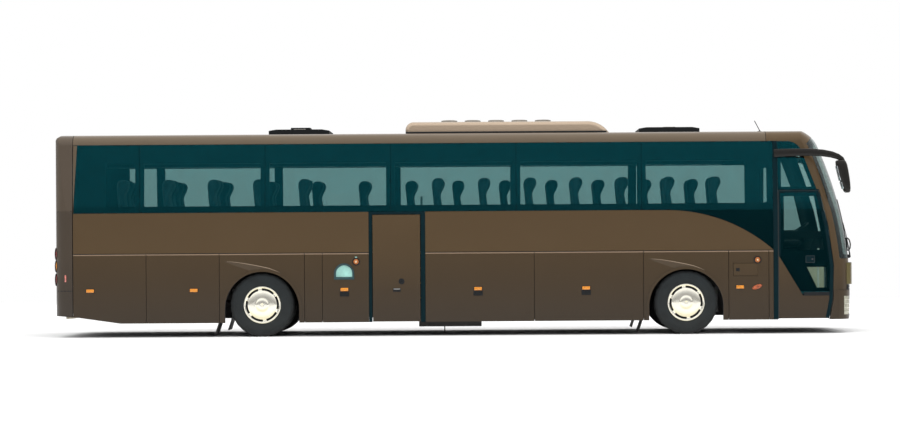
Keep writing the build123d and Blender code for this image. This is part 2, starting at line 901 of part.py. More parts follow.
with BuildPart() as middle_door_arms:
    add(door_arms(middle_pole, middle_pin, tread_low_z + rest, middle_arms_z[1] + 80, middle_arms_z))

# Floor: boards of the passenger deck and, lower down, of the driver's platform.
deck_low = groove_z - deck
front_stair_x = (front_door_x + 12, front_x - door_foot + plate)
middle_stair_x = (middle_door_x + plate, bay_x - plate)
stair_low_z = tread_low_z - 2 * plate
middle_well = (middle_stair_x[0] - plate, middle_stair_x[1] + plate)
front_well = (front_stair_x[0] - plate, front_stair_x[1] + plate)
deck_boards = [
    ((-far, middle_well[0] - rest), -width),
    ((middle_well[0], middle_well[1]), -middle_stair_y + rest),
    ((middle_well[1] + rest, platform_x), -width),
]
platform_boards = [
    ((platform_x + rest, front_well[0] - rest), -width),
    ((front_well[0], far), -front_stair_y + rest),
]

with BuildPart() as floor_deck:
    for x, y0 in deck_boards:
        slab(x, (y0, width), (deck_low, groove_z))
    for x, y0 in platform_boards:
        slab(x, (y0, width), (platform_z - deck, platform_z))
    slab((platform_x - deck, platform_x), (-width, width), (platform_z - deck, deck_low - rest))
    add(lined, mode=Mode.INTERSECT)


def stair(x, y_end, z_end, count):
    """A flight rising inward from the door: treads, risers and two side walls."""
    run = (stair_y - y_end) / count
    rise = (z_end - tread_low_z) / count
    for i in range(count):
        y0 = -stair_y + run * i
        z = tread_low_z + rise * i
        slab(x, (y0 + rest, y0 + run), (z - 2 * plate, z))
        slab(x, (y0 + run - plate, y0 + run), (z + rest, z + rise))
    for x0 in (x[0] - plate, x[1] + rest):
        slab((x0, x0 + plate - rest), (-stair_y, -y_end), (stair_low_z, z_end))


with BuildPart() as stairs:
    stair(front_stair_x, front_stair_y, platform_z, 2)
    stair(middle_stair_x, middle_stair_y, groove_z, 4)

# Underframe: bay floor, bulkheads, arched wheel houses, rails and jacking pads.
bay_ends = (rear_axle_x + bulkhead_offset, front_axle_x - bulkhead_offset)
house_ends = (rear_axle_x - bulkhead_offset, front_axle_x + bulkhead_offset)
under_deck = deck_low - rest
under_floor_z = bay_floor_z - 2 * plate
house_y = 545
house_radius = bulkhead_offset - plate / 2
rail_front_x = front_x - 260
pad_half = 80
pad_y = 900
tank_x = (bay_x - 112, bay_x + 898)
tank_y = (-1000, -300)
tank_low_z = 140
floor_boards = [
    ((bay_ends[0] + plate / 2 + rest, middle_door_x - seam), -stair_y),
    ((middle_door_x - seam + rest, bay_x + seam - rest), -middle_stair_y + seam),
    ((bay_x + seam, bay_ends[1] - plate / 2 - rest), -stair_y),
]


def wheel_house(axle, side):
    """The arched lining over one pair of tyres."""
    y = sorted((side * (house_y + plate + rest), side * stair_y))
    with BuildPart() as lining:
        arch_cut(axle, house_radius + plate, y, Mode.ADD)
        arch_cut(axle, house_radius, y, Mode.SUBTRACT)
        slab((-far, far), y, (-rail_z, rail_z), Mode.SUBTRACT)
    return lining.part


with BuildPart() as underframe:
    for x, y0 in floor_boards:
        slab(x, (y0, stair_y), (under_floor_z, bay_floor_z))
    for x in bay_ends:
        slab((x - plate / 2, x + plate / 2), (-stair_y, stair_y), (under_floor_z, under_deck))
    for side in (-1, 1):
        for x in house_ends:
            y = sorted((side * house_y, side * stair_y))
            slab((x - plate / 2, x + plate / 2), y, (under_floor_z, under_deck))
        for axle in (rear_axle_x, front_axle_x):
            half = bulkhead_offset - plate / 2 - rest
            y = sorted((side * house_y, side * (house_y + plate)))
            slab((axle - half, axle + half), y, (rail_z, under_deck))
            add(wheel_house(axle, side))
        y = sorted((side * rail_y, side * (rail_y + rail_width)))
        slab((rear_seam_x, bay_ends[0] - plate / 2 - rest), y, (rail_z, rail_z + rail_depth))
        slab((bay_ends[1] + plate / 2 + rest, rail_front_x), y, (rail_z, rail_z + rail_depth))
        for x in (bay_ends[0] + 120, bay_ends[1] - 120):
            y = sorted((side * (pad_y - pad_half), side * (pad_y + pad_half)))
            slab((x - pad_half, x + pad_half), y, (bay_floor_z - pad_half, under_floor_z - rest))
    for x in (rear_seam_x, rail_front_x - rail_width):
        slab((x, x + rail_width), (-rail_y + rest, rail_y - rest), (rail_z, rail_z + rail_depth))
    slab(tank_x, tank_y, (tank_low_z, under_floor_z - rest))

flap_sheet = (-10, 2)
flap_sweep = 60

with BuildPart() as mudflaps:
    for axle, drop in ((rear_axle_x, 40), (front_axle_x, 50)):
        x = axle - bulkhead_offset
        top = under_floor_z - rest
        for side in (-1, 1):
            y = sorted((side * 640, side * 1190))
            sheet = [(x + flap_sheet[1], top), (x + flap_sheet[1], skirt_z), (x + flap_sheet[1] - flap_sweep, drop)]
            back = [(x + flap_sheet[0] - flap_sweep, drop), (x + flap_sheet[0], skirt_z), (x + flap_sheet[0], top)]
            side_prism(sheet + back, y, Mode.ADD)

# Engine and gearbox between the rear rails.
engine_x = rear_seam_x + 150
gearbox_x = rear_axle_x - 900
engine_run = (gearbox_x - engine_x) * 2 / 3
engine_half = 330
engine_z = (470, 1190)
gearbox_z = 640
gearbox_radius = 230

with BuildPart() as engine:
    slab((engine_x, engine_x + engine_run), (-engine_half, engine_half), engine_z)
    fillet(engine.edges().filter_by(Axis.X), 60)
    for x in (engine_x + engine_run / 8, engine_x + engine_run * 7 / 8):
        across = (-rail_y + rest, rail_y - rest)
        slab((x - rail_width / 2, x + rail_width / 2), across, (rail_z + plate / 2, rail_z + rail_width))
    with BuildSketch(Plane.YZ.offset(engine_x + engine_run - plate)):
        with Locations((0, gearbox_z)):
            Circle(gearbox_radius)
    extrude(amount=engine_run / 2 + plate, taper=6)

# Axles with their air springs.
axle_z = tyre_radius
beam = 45
spring_radius = 95
eye_half = 70

with BuildPart() as front_axle:
    with BuildSketch(Plane.YZ.offset(front_axle_x - beam)):
        with BuildLine():
            Polyline(
                (-kingpin_y, axle_z - beam), (-720, axle_z - beam), (-620, 340), (620, 340),
                (720, axle_z - beam), (kingpin_y, axle_z - beam), (kingpin_y, axle_z + beam),
                (680, axle_z + beam), (580, 430), (-580, 430), (-680, axle_z + beam),
                (-kingpin_y, axle_z + beam), close=True,
            )
        make_face()
    extrude(amount=2 * beam)
    for side in (-1, 1):
        with Locations((front_axle_x, side * kingpin_y, axle_z)):
            Cylinder(2 * kingpin_radius, 2 * eye_half)
        with Locations((front_axle_x, side * (rail_y + rail_width / 2), (425 + rail_z - rest) / 2)):
            Cylinder(spring_radius, rail_z - rest - 425)
    for side in (-1, 1):
        with Locations((front_axle_x, side * kingpin_y, axle_z)):
            Cylinder(kingpin_radius + rest, 4 * eye_half, mode=Mode.SUBTRACT)

tyre_y = tyre_outer_y - tyre_half
twin_y = tyre_y - twin_pitch
spindle_end = tyre_y + 80
shaft_radius = 55
casing = [(-300, 0), (-300, 95), (-170, 190), (-60, 230), (60, 230), (170, 190), (300, 95), (300, 0)]

with BuildPart() as rear_axle:
    with BuildSketch(Plane.XZ):
        with Locations((rear_axle_x, axle_z)):
            Circle(hub_radius)
    extrude(amount=spindle_end, both=True)
    with BuildSketch(Plane.XZ):
        with Locations((rear_axle_x, axle_z)):
            Circle(95)
    extrude(amount=600, both=True)
    with BuildSketch(Plane.YZ.offset(rear_axle_x)):
        with BuildLine():
            Polyline(*[(y, axle_z + r) for y, r in casing], close=True)
        make_face()
    revolve(axis=Axis((rear_axle_x, 0, axle_z), (0, 1, 0)))
    with BuildSketch(Plane.YZ.offset(gearbox_x + rest)):
        with Locations((0, axle_z)):
            Circle(shaft_radius)
    extrude(amount=rear_axle_x - gearbox_x)
    for side in (-1, 1):
        with Locations((rear_axle_x, side * (rail_y + rail_width / 2), (axle_z + rail_z - rest) / 2)):
            Cylinder(spring_radius, rail_z - rest - axle_z)


def knuckle(side):
    """A steering knuckle: kingpin, fork and spindle."""
    y = side * kingpin_y
    reach = sorted((y, side * (kingpin_y + 90)))
    with BuildPart() as block:
        with Locations((front_axle_x, y, axle_z)):
            Cylinder(kingpin_radius, 2 * eye_half + 4 * plate)
        for z in (axle_z + eye_half + 2, axle_z - eye_half - 2 - 2 * plate):
            slab((front_axle_x - beam, front_axle_x + beam), reach, (z, z + 2 * plate))
            with Locations((front_axle_x, y, z + plate)):
                Cylinder(beam, 2 * plate)
        cheek = sorted((side * (kingpin_y + 60), side * (kingpin_y + 90)))
        cheek_z = (axle_z - eye_half - 2, axle_z + eye_half + 2)
        slab((front_axle_x - beam, front_axle_x + beam), cheek, cheek_z)
        with BuildSketch(Plane.XZ.offset(-side * (kingpin_y + 70))):
            with Locations((front_axle_x, axle_z)):
                Circle(spindle_radius)
        extrude(amount=-side * (spindle_end - kingpin_y - 70))
    return block.part


with BuildPart() as knuckle_right:
    add(knuckle(-1))

with BuildPart() as knuckle_left:
    add(knuckle(1))


def turned(points, x, side):
    """A profile of (outward, radius) points turned about a wheel's axis."""
    with BuildSketch(Plane.YZ.offset(x)) as section:
        with BuildLine():
            Polyline(*[(side * out, axle_z + radius) for out, radius in points], close=True)
        make_face()
    revolve(section.sketch, axis=Axis((x, 0, axle_z), (0, 1, 0)))


def tyre_profile(centre):
    """Bead, bulging wall, tread and inner wall of one tyre."""
    return [
        (centre - 108, rim_radius), (centre + 108, rim_radius), (centre + tyre_half, 400),
        (centre + 118, tyre_radius), (centre - 118, tyre_radius), (centre - tyre_half, 400),
    ]


def wheel_profile(bore, back):
    """Rim drum with a domed cover over the hub."""
    face = tyre_y + 108
    return [
        (back, rim_radius - rest), (back, bore + rest), (spindle_end + 6, bore + rest), (spindle_end + 6, 0),
        (face + 44, 0), (face + 40, 92), (face + 10, 110), (face + 20, 276), (face, rim_radius - rest),
    ]


with BuildPart() as tyre_front_right:
    turned(tyre_profile(tyre_y), front_axle_x, -1)

with BuildPart() as tyre_front_left:
    turned(tyre_profile(tyre_y), front_axle_x, 1)

with BuildPart() as tyres_rear_right:
    for centre in (tyre_y, twin_y):
        turned(tyre_profile(centre), rear_axle_x, -1)

with BuildPart() as tyres_rear_left:
    for centre in (tyre_y, twin_y):
        turned(tyre_profile(centre), rear_axle_x, 1)

front_back = tyre_y - 108
rear_back = twin_y - 108

with BuildPart() as wheel_front_right:
    turned(wheel_profile(spindle_radius, front_back), front_axle_x, -1)

with BuildPart() as wheel_front_left:
    turned(wheel_profile(spindle_radius, front_back), front_axle_x, 1)

with BuildPart() as wheels_rear_right:
    turned(wheel_profile(hub_radius, rear_back), rear_axle_x, -1)

with BuildPart() as wheels_rear_left:
    turned(wheel_profile(hub_radius, rear_back), rear_axle_x, 1)

# Seats: pairs on the deck, each with a reclined back and a pedestal.
rows = {
    "right_front": (platform_x - 296, 745, bay_x + 150),
    "right_rear": (middle_door_x - 1076, 733, rear_seam_x + 720),
    "left": (platform_x - 530, 786, rear_seam_x + 600),
}


def row_places(name):
    """Places of one run of seats, from its first row back to its last."""
    first, pitch, last = rows[name]
    return [first - pitch * i for i in range(int((first - last) / pitch) + 1)]


right_rows = row_places("right_front") + row_places("right_rear")
left_rows = row_places("left")


def seat_pair(x, floor, y):
    """A pair of seats side by side, its head at x."""
    head = floor + seat_height
    side_prism(
        [
            (x - 85, head - 110), (x - 60, head - 30), (x, head), (x + 85, head), (x + 130, head - 55),
            (x + 125, head - 130), (x + 60, head - 250),
            (x + 130, floor + 480), (x + 560, floor + 490), (x + 590, floor + 440), (x + 560, floor + 360),
            (x + 420, floor + 350), (x + 400, floor + rest), (x + 200, floor + rest), (x + 200, floor + 350),
            (x + 20, floor + 350), (x - 10, floor + 440),
        ],
        y, Mode.ADD,
    )
    mid = (y[0] + y[1]) / 2
    slab((x - 200, x + 120), (mid - 22, mid + 22), (floor + 780, head + 20), Mode.SUBTRACT)


with BuildPart() as seats_right:
    for row in right_rows:
        seat_pair(row, groove_z, (-seat_outer_y, -seat_inner_y))

with BuildPart() as seats_left:
    for row in left_rows:
        seat_pair(row, groove_z, (seat_inner_y, seat_outer_y))

driver_y = 640

with BuildPart() as driver_place:
    x = front_door_x + 90
    side_prism(
        [
            (x - 120, platform_z + 1160), (x - 20, platform_z + 1160), (x + 110, platform_z + 520),
            (x + 520, platform_z + 500), (x + 520, platform_z + 400), (x + 380, platform_z + 380),
            (x + 380, platform_z + rest), (x + 160, platform_z + rest), (x + 160, platform_z + 380),
            (x - 20, platform_z + 380),
        ],
        (driver_y - 250, driver_y + 250), Mode.ADD,
    )

# Dashboard with the steering wheel over it.
with BuildPart() as dashboard:
    side_prism(
        [
            (front_x - 650, platform_z + rest), (front_x - 650, platform_z + 330),
            (front_x - 560, platform_z + 560), (front_x - 380, platform_z + 600),
            (front_x - 200, platform_z + 480), (front_x - 100, platform_z + 300),
            (front_x - 100, platform_z + rest),
        ],
        (-480, inner_y), Mode.ADD,
    )
    add(lined, mode=Mode.INTERSECT)

wheel_plane = Plane(
    origin=(front_x - 700, driver_y, 1660), x_dir=(0, 1, 0), z_dir=(-sin(radians(35)), 0, cos(radians(35)))
)

grip_radius = 225
rim_plane = Plane(origin=wheel_plane.origin, x_dir=wheel_plane.x_dir, z_dir=-wheel_plane.y_dir)

with BuildPart() as steering_wheel:
    with BuildSketch(rim_plane):
        with Locations((grip_radius, 0)):
            RegularPolygon(17, 6)
    revolve(axis=Axis(wheel_plane.origin, wheel_plane.z_dir))
    with Locations(wheel_plane):
        Box(2 * grip_radius - 20, 50, 26)
        Cylinder(70, 50)
    with BuildSketch(wheel_plane):
        Circle(32)
    extrude(amount=-260)
    add(dashboard.part, mode=Mode.SUBTRACT)

# Luggage racks along the coves over the seats.
rack_z = glass_top_z - rack_drop

with BuildPart() as luggage_racks:
    for side in (-1, 1):
        with BuildSketch(Plane.YZ.offset(rear_seam_x + wall)):
            with BuildLine():
                Polyline(
                    (side * side_y, rack_z), (side * 800, rack_z), (side * 760, rack_z + 50),
                    (side * 790, rack_z + rack_height), (side * 860, rack_z + rack_height),
                    (side * 900, rack_z + 100), (side * side_y, rack_z + 100), close=True,
                )
            make_face()
        extrude(amount=platform_x - rear_seam_x)
    add(lined, mode=Mode.INTERSECT)

# Roof air conditioner with its row of fans, the two hatches and the aerial.
cooler_rear_x = bay_x - cooler_setback
cooler_front_x = cooler_rear_x + cooler_length
cooler_top_z = roof_z + cooler_rise
fan_mid_x = cooler_rear_x + fan_setback
roof_form = envelope(-rest)

with BuildPart() as air_conditioner:
    side_prism(
        [
            (cooler_rear_x, eave_z - wall), (cooler_rear_x, cooler_top_z),
            (cooler_front_x - cooler_nose, cooler_top_z), (cooler_front_x, eave_z - wall),
        ],
        (-cooler_half, cooler_half), Mode.ADD, [0, cooler_heel, cooler_bend, 0],
    )
    fillet(air_conditioner.edges().filter_by(Axis.X).group_by(Axis.Z)[-1], 60)
    for i in range(fan_count):
        with Locations((fan_mid_x + fan_pitch * (i - fan_count // 2), 0, cooler_top_z)):
            Cylinder(fan_radius, 2 * fan_rise)
    add(roof_form, mode=Mode.SUBTRACT)

rear_hatch_x = rear_axle_x + 50
front_hatch_x = front_axle_x - 690
aerial_x = dome_x + 40
aerial_line = [
    (-45, 0), (-45, 20), (-6, 30), (-92, aerial_height - 3), (-82, aerial_height), (6, 30), (45, 15), (45, 0),
]

with BuildPart() as roof_fittings:
    for x in (rear_hatch_x, front_hatch_x):
        side_prism(
            [
                (x, eave_z), (x, roof_z + hatch_rise - hatch_fall), (x + hatch_slope, roof_z + hatch_rise),
                (x + hatch_length - hatch_slope, roof_z + hatch_rise),
                (x + hatch_length, roof_z + hatch_rise - hatch_fall), (x + hatch_length, eave_z),
            ],
            (-hatch_half, hatch_half), Mode.ADD,
        )
    with Locations((rear_hatch_x + hatch_length / 2, 0, roof_z + hatch_rise + 15)):
        Box(320, 320, 60)
    blade = [(aerial_x + x, (roof_z if z else eave_z) + z) for x, z in aerial_line]
    side_prism(blade, (-plate / 2, plate / 2))
    add(roof_form, mode=Mode.SUBTRACT)


def mirror(side):
    """A mirror head hung from an arm that sweeps forward from the door post."""
    z = glass_top_z - 200
    root_y = side_y - (z - wall - belt_z) * lean + rest
    with BuildPart() as arm:
        with BuildLine() as path:
            a = (post_x + post_width / 2, side * (root_y + 62), z)
            b = (front_x - 760, side * (side_y + 120), z + 5)
            c = (front_x - 440, side * (side_y + 170), z - 30)
            d = (front_x - 210, side * (side_y + 205), z - 150)
            Spline(a, b, c, d)
        with BuildSketch(Plane(origin=a, x_dir=(0, 1, 0), z_dir=path.line % 0)):
            RectangleRounded(50, 120, 20)
        sweep()
        slab((post_x, post_x + post_width), sorted((side * root_y, side * (root_y + 80))), (z - 60, z + 60))
        y = sorted((side * (side_y + 85), side * (side_y + 315)))
        side_prism(
            [
                (front_x - 335, z - 125), (front_x - 200, z - 125),
                (front_x - 130, z - 645), (front_x - 225, z - 645),
            ],
            y, Mode.ADD, [45, 45, 30, 30],
        )
    return arm.part


with BuildPart() as mirror_right:
    add(mirror(-1))

with BuildPart() as mirror_left:
    add(mirror(1))

# Wipers lying up the windscreen.
with BuildPart() as wipers:
    add(envelope(-70))
    add(envelope(-30), mode=Mode.SUBTRACT)
    with BuildPart(mode=Mode.PRIVATE) as wiper_zone:
        for y in (-620, 380):
            slab((pillar_foot_x, far), (y - 18, y + 18), (1235, 2150))
    add(wiper_zone.part, mode=Mode.INTERSECT)
    with BuildPart(mode=Mode.PRIVATE) as wiper_foot:
        add(envelope(-70))
        add(envelope(-rest), mode=Mode.SUBTRACT)
        with BuildPart(mode=Mode.PRIVATE) as foot_zone:
            for y in (-620, 380):
                slab((pillar_foot_x, far), (y - 30, y + 30), (1192, 1260))
        add(foot_zone.part, mode=Mode.INTERSECT)
    add(wiper_foot.part)

pieces = {
    "roof": roof, "roof_fittings": roof_fittings, "air_conditioner": air_conditioner,
    "front_mask": front_mask, "front_panel": front_panel, "windscreen": windscreen,
    "headlamps": headlamps, "front_bumper": front_bumper,
    "wipers": wipers, "mirror_right": mirror_right, "mirror_left": mirror_left, "rear_cap": rear_cap,
    "rear_window": rear_window, "tail_lamps": tail_lamps, "engine_lid": engine_lid,
    "rear_bumper": rear_bumper, "side_frame_right": side_frame_right, "side_frame_left": side_frame_left,
    "side_glass_right": side_glass_right, "side_glass_left": side_glass_left,
    "side_panels_right": side_panels_right,
    "side_panels_left": side_panels_left, "locker_flap_right": locker_flap_right, "fuel_flap": fuel_flap,
    "luggage_flap_right_rear": luggage_flap_right_rear, "luggage_flap_right_front": luggage_flap_right_front,
    "luggage_flap_left_rear": luggage_flap_left_rear, "luggage_flap_left_middle": luggage_flap_left_middle,
    "luggage_flap_left_front": luggage_flap_left_front, "front_door": front_door,
    "front_door_glass": front_door_glass, "front_door_arms": front_door_arms, "middle_door": middle_door,
    "middle_door_arms": middle_door_arms, "floor_deck": floor_deck, "stairs": stairs,
    "underframe": underframe,
    "mudflaps": mudflaps, "engine": engine, "front_axle": front_axle, "rear_axle": rear_axle,
    "knuckle_right": knuckle_right, "knuckle_left": knuckle_left, "tyre_front_right": tyre_front_right,
    "tyre_front_left": tyre_front_left, "tyres_rear_right": tyres_rear_right,
    "tyres_rear_left": tyres_rear_left,
    "wheel_front_right": wheel_front_right, "wheel_front_left": wheel_front_left,
    "wheels_rear_right": wheels_rear_right, "wheels_rear_left": wheels_rear_left, "seats_right": seats_right,
    "seats_left": seats_left, "driver_place": driver_place, "dashboard": dashboard,
    "steering_wheel": steering_wheel, "luggage_racks": luggage_racks,
}
for label, piece in pieces.items():
    piece.part.label = label
    export_step(piece.part, "parts/" + label + ".step")
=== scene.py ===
from math import cos, pi, radians, sin, sqrt, tan

import bmesh
import bpy
from mathutils import Matrix, Vector
from mathutils.bvhtree import BVHTree


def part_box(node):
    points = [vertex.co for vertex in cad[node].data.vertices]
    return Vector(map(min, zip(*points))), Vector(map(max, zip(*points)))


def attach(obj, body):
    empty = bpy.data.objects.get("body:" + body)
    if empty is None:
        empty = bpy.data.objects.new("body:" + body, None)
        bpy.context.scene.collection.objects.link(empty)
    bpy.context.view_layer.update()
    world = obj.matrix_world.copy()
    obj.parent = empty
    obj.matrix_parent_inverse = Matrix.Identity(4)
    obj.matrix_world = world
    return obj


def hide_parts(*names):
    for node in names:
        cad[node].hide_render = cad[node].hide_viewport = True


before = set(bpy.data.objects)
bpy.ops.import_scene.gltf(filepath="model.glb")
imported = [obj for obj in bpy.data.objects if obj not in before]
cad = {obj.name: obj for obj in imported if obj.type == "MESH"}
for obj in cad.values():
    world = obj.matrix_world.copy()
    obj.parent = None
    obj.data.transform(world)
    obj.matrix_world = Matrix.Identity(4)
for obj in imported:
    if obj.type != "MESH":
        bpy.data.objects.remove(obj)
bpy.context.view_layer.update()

# Underframe: steel rails, bulkheads, bay floor and wheel houses, welded up
# and sprayed with matt black underseal that has gathered road dust.


def node(tree, kind, sockets=None, **settings):
    """One shader node; a socket takes a value or another node's output."""
    made = tree.nodes.new(kind)
    for name, value in settings.items():
        setattr(made, name, value)
    for name, value in (sockets or {}).items():
        if isinstance(value, bpy.types.NodeSocket):
            tree.links.new(value, made.inputs[name])
        else:
            made.inputs[name].default_value = value
    return made


def shader_group(name, inputs, outputs):
    """An empty shader node group with its sockets; gives tree, entry and exit."""
    tree = bpy.data.node_groups.new(name, "ShaderNodeTree")
    for label, kind in inputs:
        tree.interface.new_socket(label, in_out="INPUT", socket_type="NodeSocket" + kind)
    for label, kind in outputs:
        tree.interface.new_socket(label, in_out="OUTPUT", socket_type="NodeSocket" + kind)
    return tree, tree.nodes.new("NodeGroupInput"), tree.nodes.new("NodeGroupOutput")


worn, worn_in, worn_out = shader_group(
    "worn_surface",
    [("Base", "Color"), ("Vary", "Float"), ("Scale", "Float"), ("Rough", "Float"), ("Relief", "Float"),
     ("Dust", "Float")],
    [("Colour", "Color"), ("Roughness", "Float"), ("Normal", "Vector")],
)
place = node(worn, "ShaderNodeTexCoord")
broad = node(worn, "ShaderNodeTexNoise", {
    "Vector": place.outputs["Object"], "Scale": worn_in.outputs["Scale"], "Detail": 5.0, "Roughness": 0.6})
fine_scale = node(worn, "ShaderNodeMath", {0: worn_in.outputs["Scale"], 1: 14.0}, operation="MULTIPLY")
fine = node(worn, "ShaderNodeTexNoise", {
    "Vector": place.outputs["Object"], "Scale": fine_scale.outputs[0], "Detail": 3.0})
swing = node(worn, "ShaderNodeMapRange", {
    "Value": broad.outputs["Fac"], "From Min": 0.3, "From Max": 0.7, "To Min": -1.0, "To Max": 1.0})
amount = node(worn, "ShaderNodeMath", {0: swing.outputs[0], 1: worn_in.outputs["Vary"]},
              operation="MULTIPLY")
gain = node(worn, "ShaderNodeMath", {0: amount.outputs[0], 1: 1.0}, operation="ADD")
tone = node(worn, "ShaderNodeVectorMath", {0: worn_in.outputs["Base"], 3: gain.outputs[0]},
            operation="SCALE")
spot = node(worn, "ShaderNodeSeparateXYZ", {0: place.outputs["Object"]})
low = node(worn, "ShaderNodeMapRange", {
    "Value": spot.outputs["Z"], "From Min": 0.15, "From Max": 1.1, "To Min": 1.0, "To Max": 0.0})
soil = node(worn, "ShaderNodeMath", {0: low.outputs[0], 1: fine.outputs["Fac"]}, operation="MULTIPLY")
soiled = node(worn, "ShaderNodeMath", {0: soil.outputs[0], 1: worn_in.outputs["Dust"]},
              operation="MULTIPLY")
dusty = node(worn, "ShaderNodeMix", {
    0: soiled.outputs[0], 6: tone.outputs[0], 7: (0.16, 0.14, 0.115, 1)}, data_type="RGBA")
rub = node(worn, "ShaderNodeMath", {0: fine.outputs["Fac"], 1: 0.16, 2: worn_in.outputs["Rough"]},
           operation="MULTIPLY_ADD")
relief = node(worn, "ShaderNodeBump", {
    "Height": fine.outputs["Fac"], "Strength": worn_in.outputs["Relief"], "Distance": 0.002})
worn.links.new(dusty.outputs[2], worn_out.inputs["Colour"])
worn.links.new(rub.outputs[0], worn_out.inputs["Roughness"])
worn.links.new(relief.outputs[0], worn_out.inputs["Normal"])


def surface(name, base, rough, metal=0.0, vary=0.2, scale=4.0, relief=0.15, dust=0.0, sockets=None):
    """A material whose colour, roughness and relief come from the shared wear."""
    made = bpy.data.materials.new(name)
    made.use_nodes = True
    tree = made.node_tree
    wear = node(tree, "ShaderNodeGroup", node_tree=worn)
    values = {"Base": (*base, 1), "Vary": vary, "Scale": scale, "Rough": rough - 0.08, "Relief": relief,
              "Dust": dust}
    for label, value in values.items():
        wear.inputs[label].default_value = value
    shader = tree.nodes["Principled BSDF"]
    tree.links.new(wear.outputs["Colour"], shader.inputs["Base Color"])
    tree.links.new(wear.outputs["Roughness"], shader.inputs["Roughness"])
    tree.links.new(wear.outputs["Normal"], shader.inputs["Normal"])
    shader.inputs["Metallic"].default_value = metal
    for label, value in (sockets or {}).items():
        shader.inputs[label].default_value = value
    return made


def dress(material, *names):
    """One material over whole CAD nodes."""
    for name in names:
        cad[name].data.materials.clear()
        cad[name].data.materials.append(material)


def form(name, bm, material, body, angle=35, turn_out=True):
    """A worked mesh as a piece, faces outward and smooth, edges over the angle crisp."""
    if turn_out:
        bmesh.ops.recalc_face_normals(bm, faces=bm.faces)
    mesh = bpy.data.meshes.new(name)
    bm.to_mesh(mesh)
    bm.free()
    mesh.polygons.foreach_set("use_smooth", [True] * len(mesh.polygons))
    mesh.set_sharp_from_angle(angle=radians(angle))
    made = bpy.data.objects.new(name, mesh)
    bpy.context.scene.collection.objects.link(made)
    mesh.materials.append(material)
    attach(made, body)
    return made


def block(name, x, y, z, radius, material, body, turn=None):
    """A rounded block between two stations on each axis."""
    bm = bmesh.new()
    bmesh.ops.create_cube(bm, size=1)
    size = (x[1] - x[0], y[1] - y[0], z[1] - z[0])
    middle = ((x[0] + x[1]) / 2, (y[0] + y[1]) / 2, (z[0] + z[1]) / 2)
    bmesh.ops.scale(bm, vec=size, verts=bm.verts)
    bmesh.ops.bevel(bm, geom=bm.edges[:], offset=radius, segments=3, profile=0.5, affect="EDGES")
    if turn:
        bmesh.ops.rotate(bm, verts=bm.verts, matrix=turn)
    bmesh.ops.translate(bm, vec=middle, verts=bm.verts)
    return form(name, bm, material, body)


def rod(name, points, radius, material, body, closed=False):
    """A round bar or tube along a smooth line of points."""
    curve = bpy.data.curves.new(name, "CURVE")
    curve.dimensions = "3D"
    curve.bevel_depth = radius
    curve.bevel_resolution = 3
    curve.use_fill_caps = True
    line = curve.splines.new("BEZIER")
    line.bezier_points.add(len(points) - 1)
    for spot, point in zip(line.bezier_points, points):
        spot.co = point
        spot.handle_left_type = spot.handle_right_type = "AUTO"
    line.use_cyclic_u = closed
    made = bpy.data.objects.new(name, curve)
    bpy.context.scene.collection.objects.link(made)
    curve.materials.append(material)
    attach(made, body)
    return made


underseal = surface("underseal", (0.014, 0.014, 0.015), 0.75, vary=0.4, scale=3.0, relief=0.5, dust=0.25)
rubber = surface("moulded_rubber", (0.011, 0.012, 0.013), 0.7, vary=0.25, scale=9.0, relief=0.2, dust=0.2)
dress(underseal, "underframe", "front_axle", "rear_axle", "knuckle_right", "knuckle_left")
dress(rubber, "mudflaps")
both_sides = ((-1, "right"), (1, "left"))
front_axle_x = (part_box("tyre_front_right")[0].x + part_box("tyre_front_right")[1].x) / 2
rear_axle_x = (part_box("tyres_rear_right")[0].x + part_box("tyres_rear_right")[1].x) / 2
axle_z = 0.51

# Engine and gearbox: cast iron with ribs, bolted together in one run
# and hung between the rear rails behind the axle.
cast_iron = surface("cast_iron", (0.06, 0.06, 0.062), 0.6, metal=0.6, vary=0.35, scale=6.0, relief=0.6,
                    dust=0.3)
dress(cast_iron, "engine")

# Tyres: moulded rubber, with four grooves round the tread, notched shoulders
# and ribs on the walls; two stand side by side at each end of the rear axle.
tyre_rubber = surface("tyre_rubber", (0.008, 0.0115, 0.013), 0.66, vary=0.3, scale=7.0, relief=0.25,
                      dust=0.08, sockets={"Specular IOR Level": 0.32})
# The tread and shoulders take a darker, rougher rubber; the darkness is painted shade, where the wheel arch
# shadows the tyre.
tread_rubber_painted_shade = surface("tread_rubber_painted_shade", (0.004, 0.006, 0.007), 0.85, vary=0.3, scale=9.0, relief=0.4,
                       dust=0.08)


def lathe(name, profile, centre, axis, steps, material, body, notch=None, closed=False, skip=None):
    """A profile of (outward, radius) pairs turned about an axis through a centre."""
    bm = bmesh.new()
    outward = Vector(axis)
    across = outward.orthogonal().normalized()
    upward = outward.cross(across)
    meridians = []
    for step in range(steps):
        turn = 2 * pi * step / steps
        spoke = across * cos(turn) + upward * sin(turn)
        meridian = []
        for index, (out, radius) in enumerate(profile):
            reach = radius - (notch(index, step) if notch else 0)
            meridian.append(bm.verts.new(Vector(centre) + outward * out + spoke * reach))
        meridians.append(meridian)
    spans = len(profile) if closed else len(profile) - 1
    for step in range(steps):
        here, there = meridians[step], meridians[(step + 1) % steps]
        for i in range(spans):
            if skip and skip(i, step):
                continue
            j = (i + 1) % len(profile)
            bm.faces.new((here[i], here[j], there[j], there[i]))
    bmesh.ops.remove_doubles(bm, verts=bm.verts, dist=1e-6)
    return form(name, bm, material, body, 40)


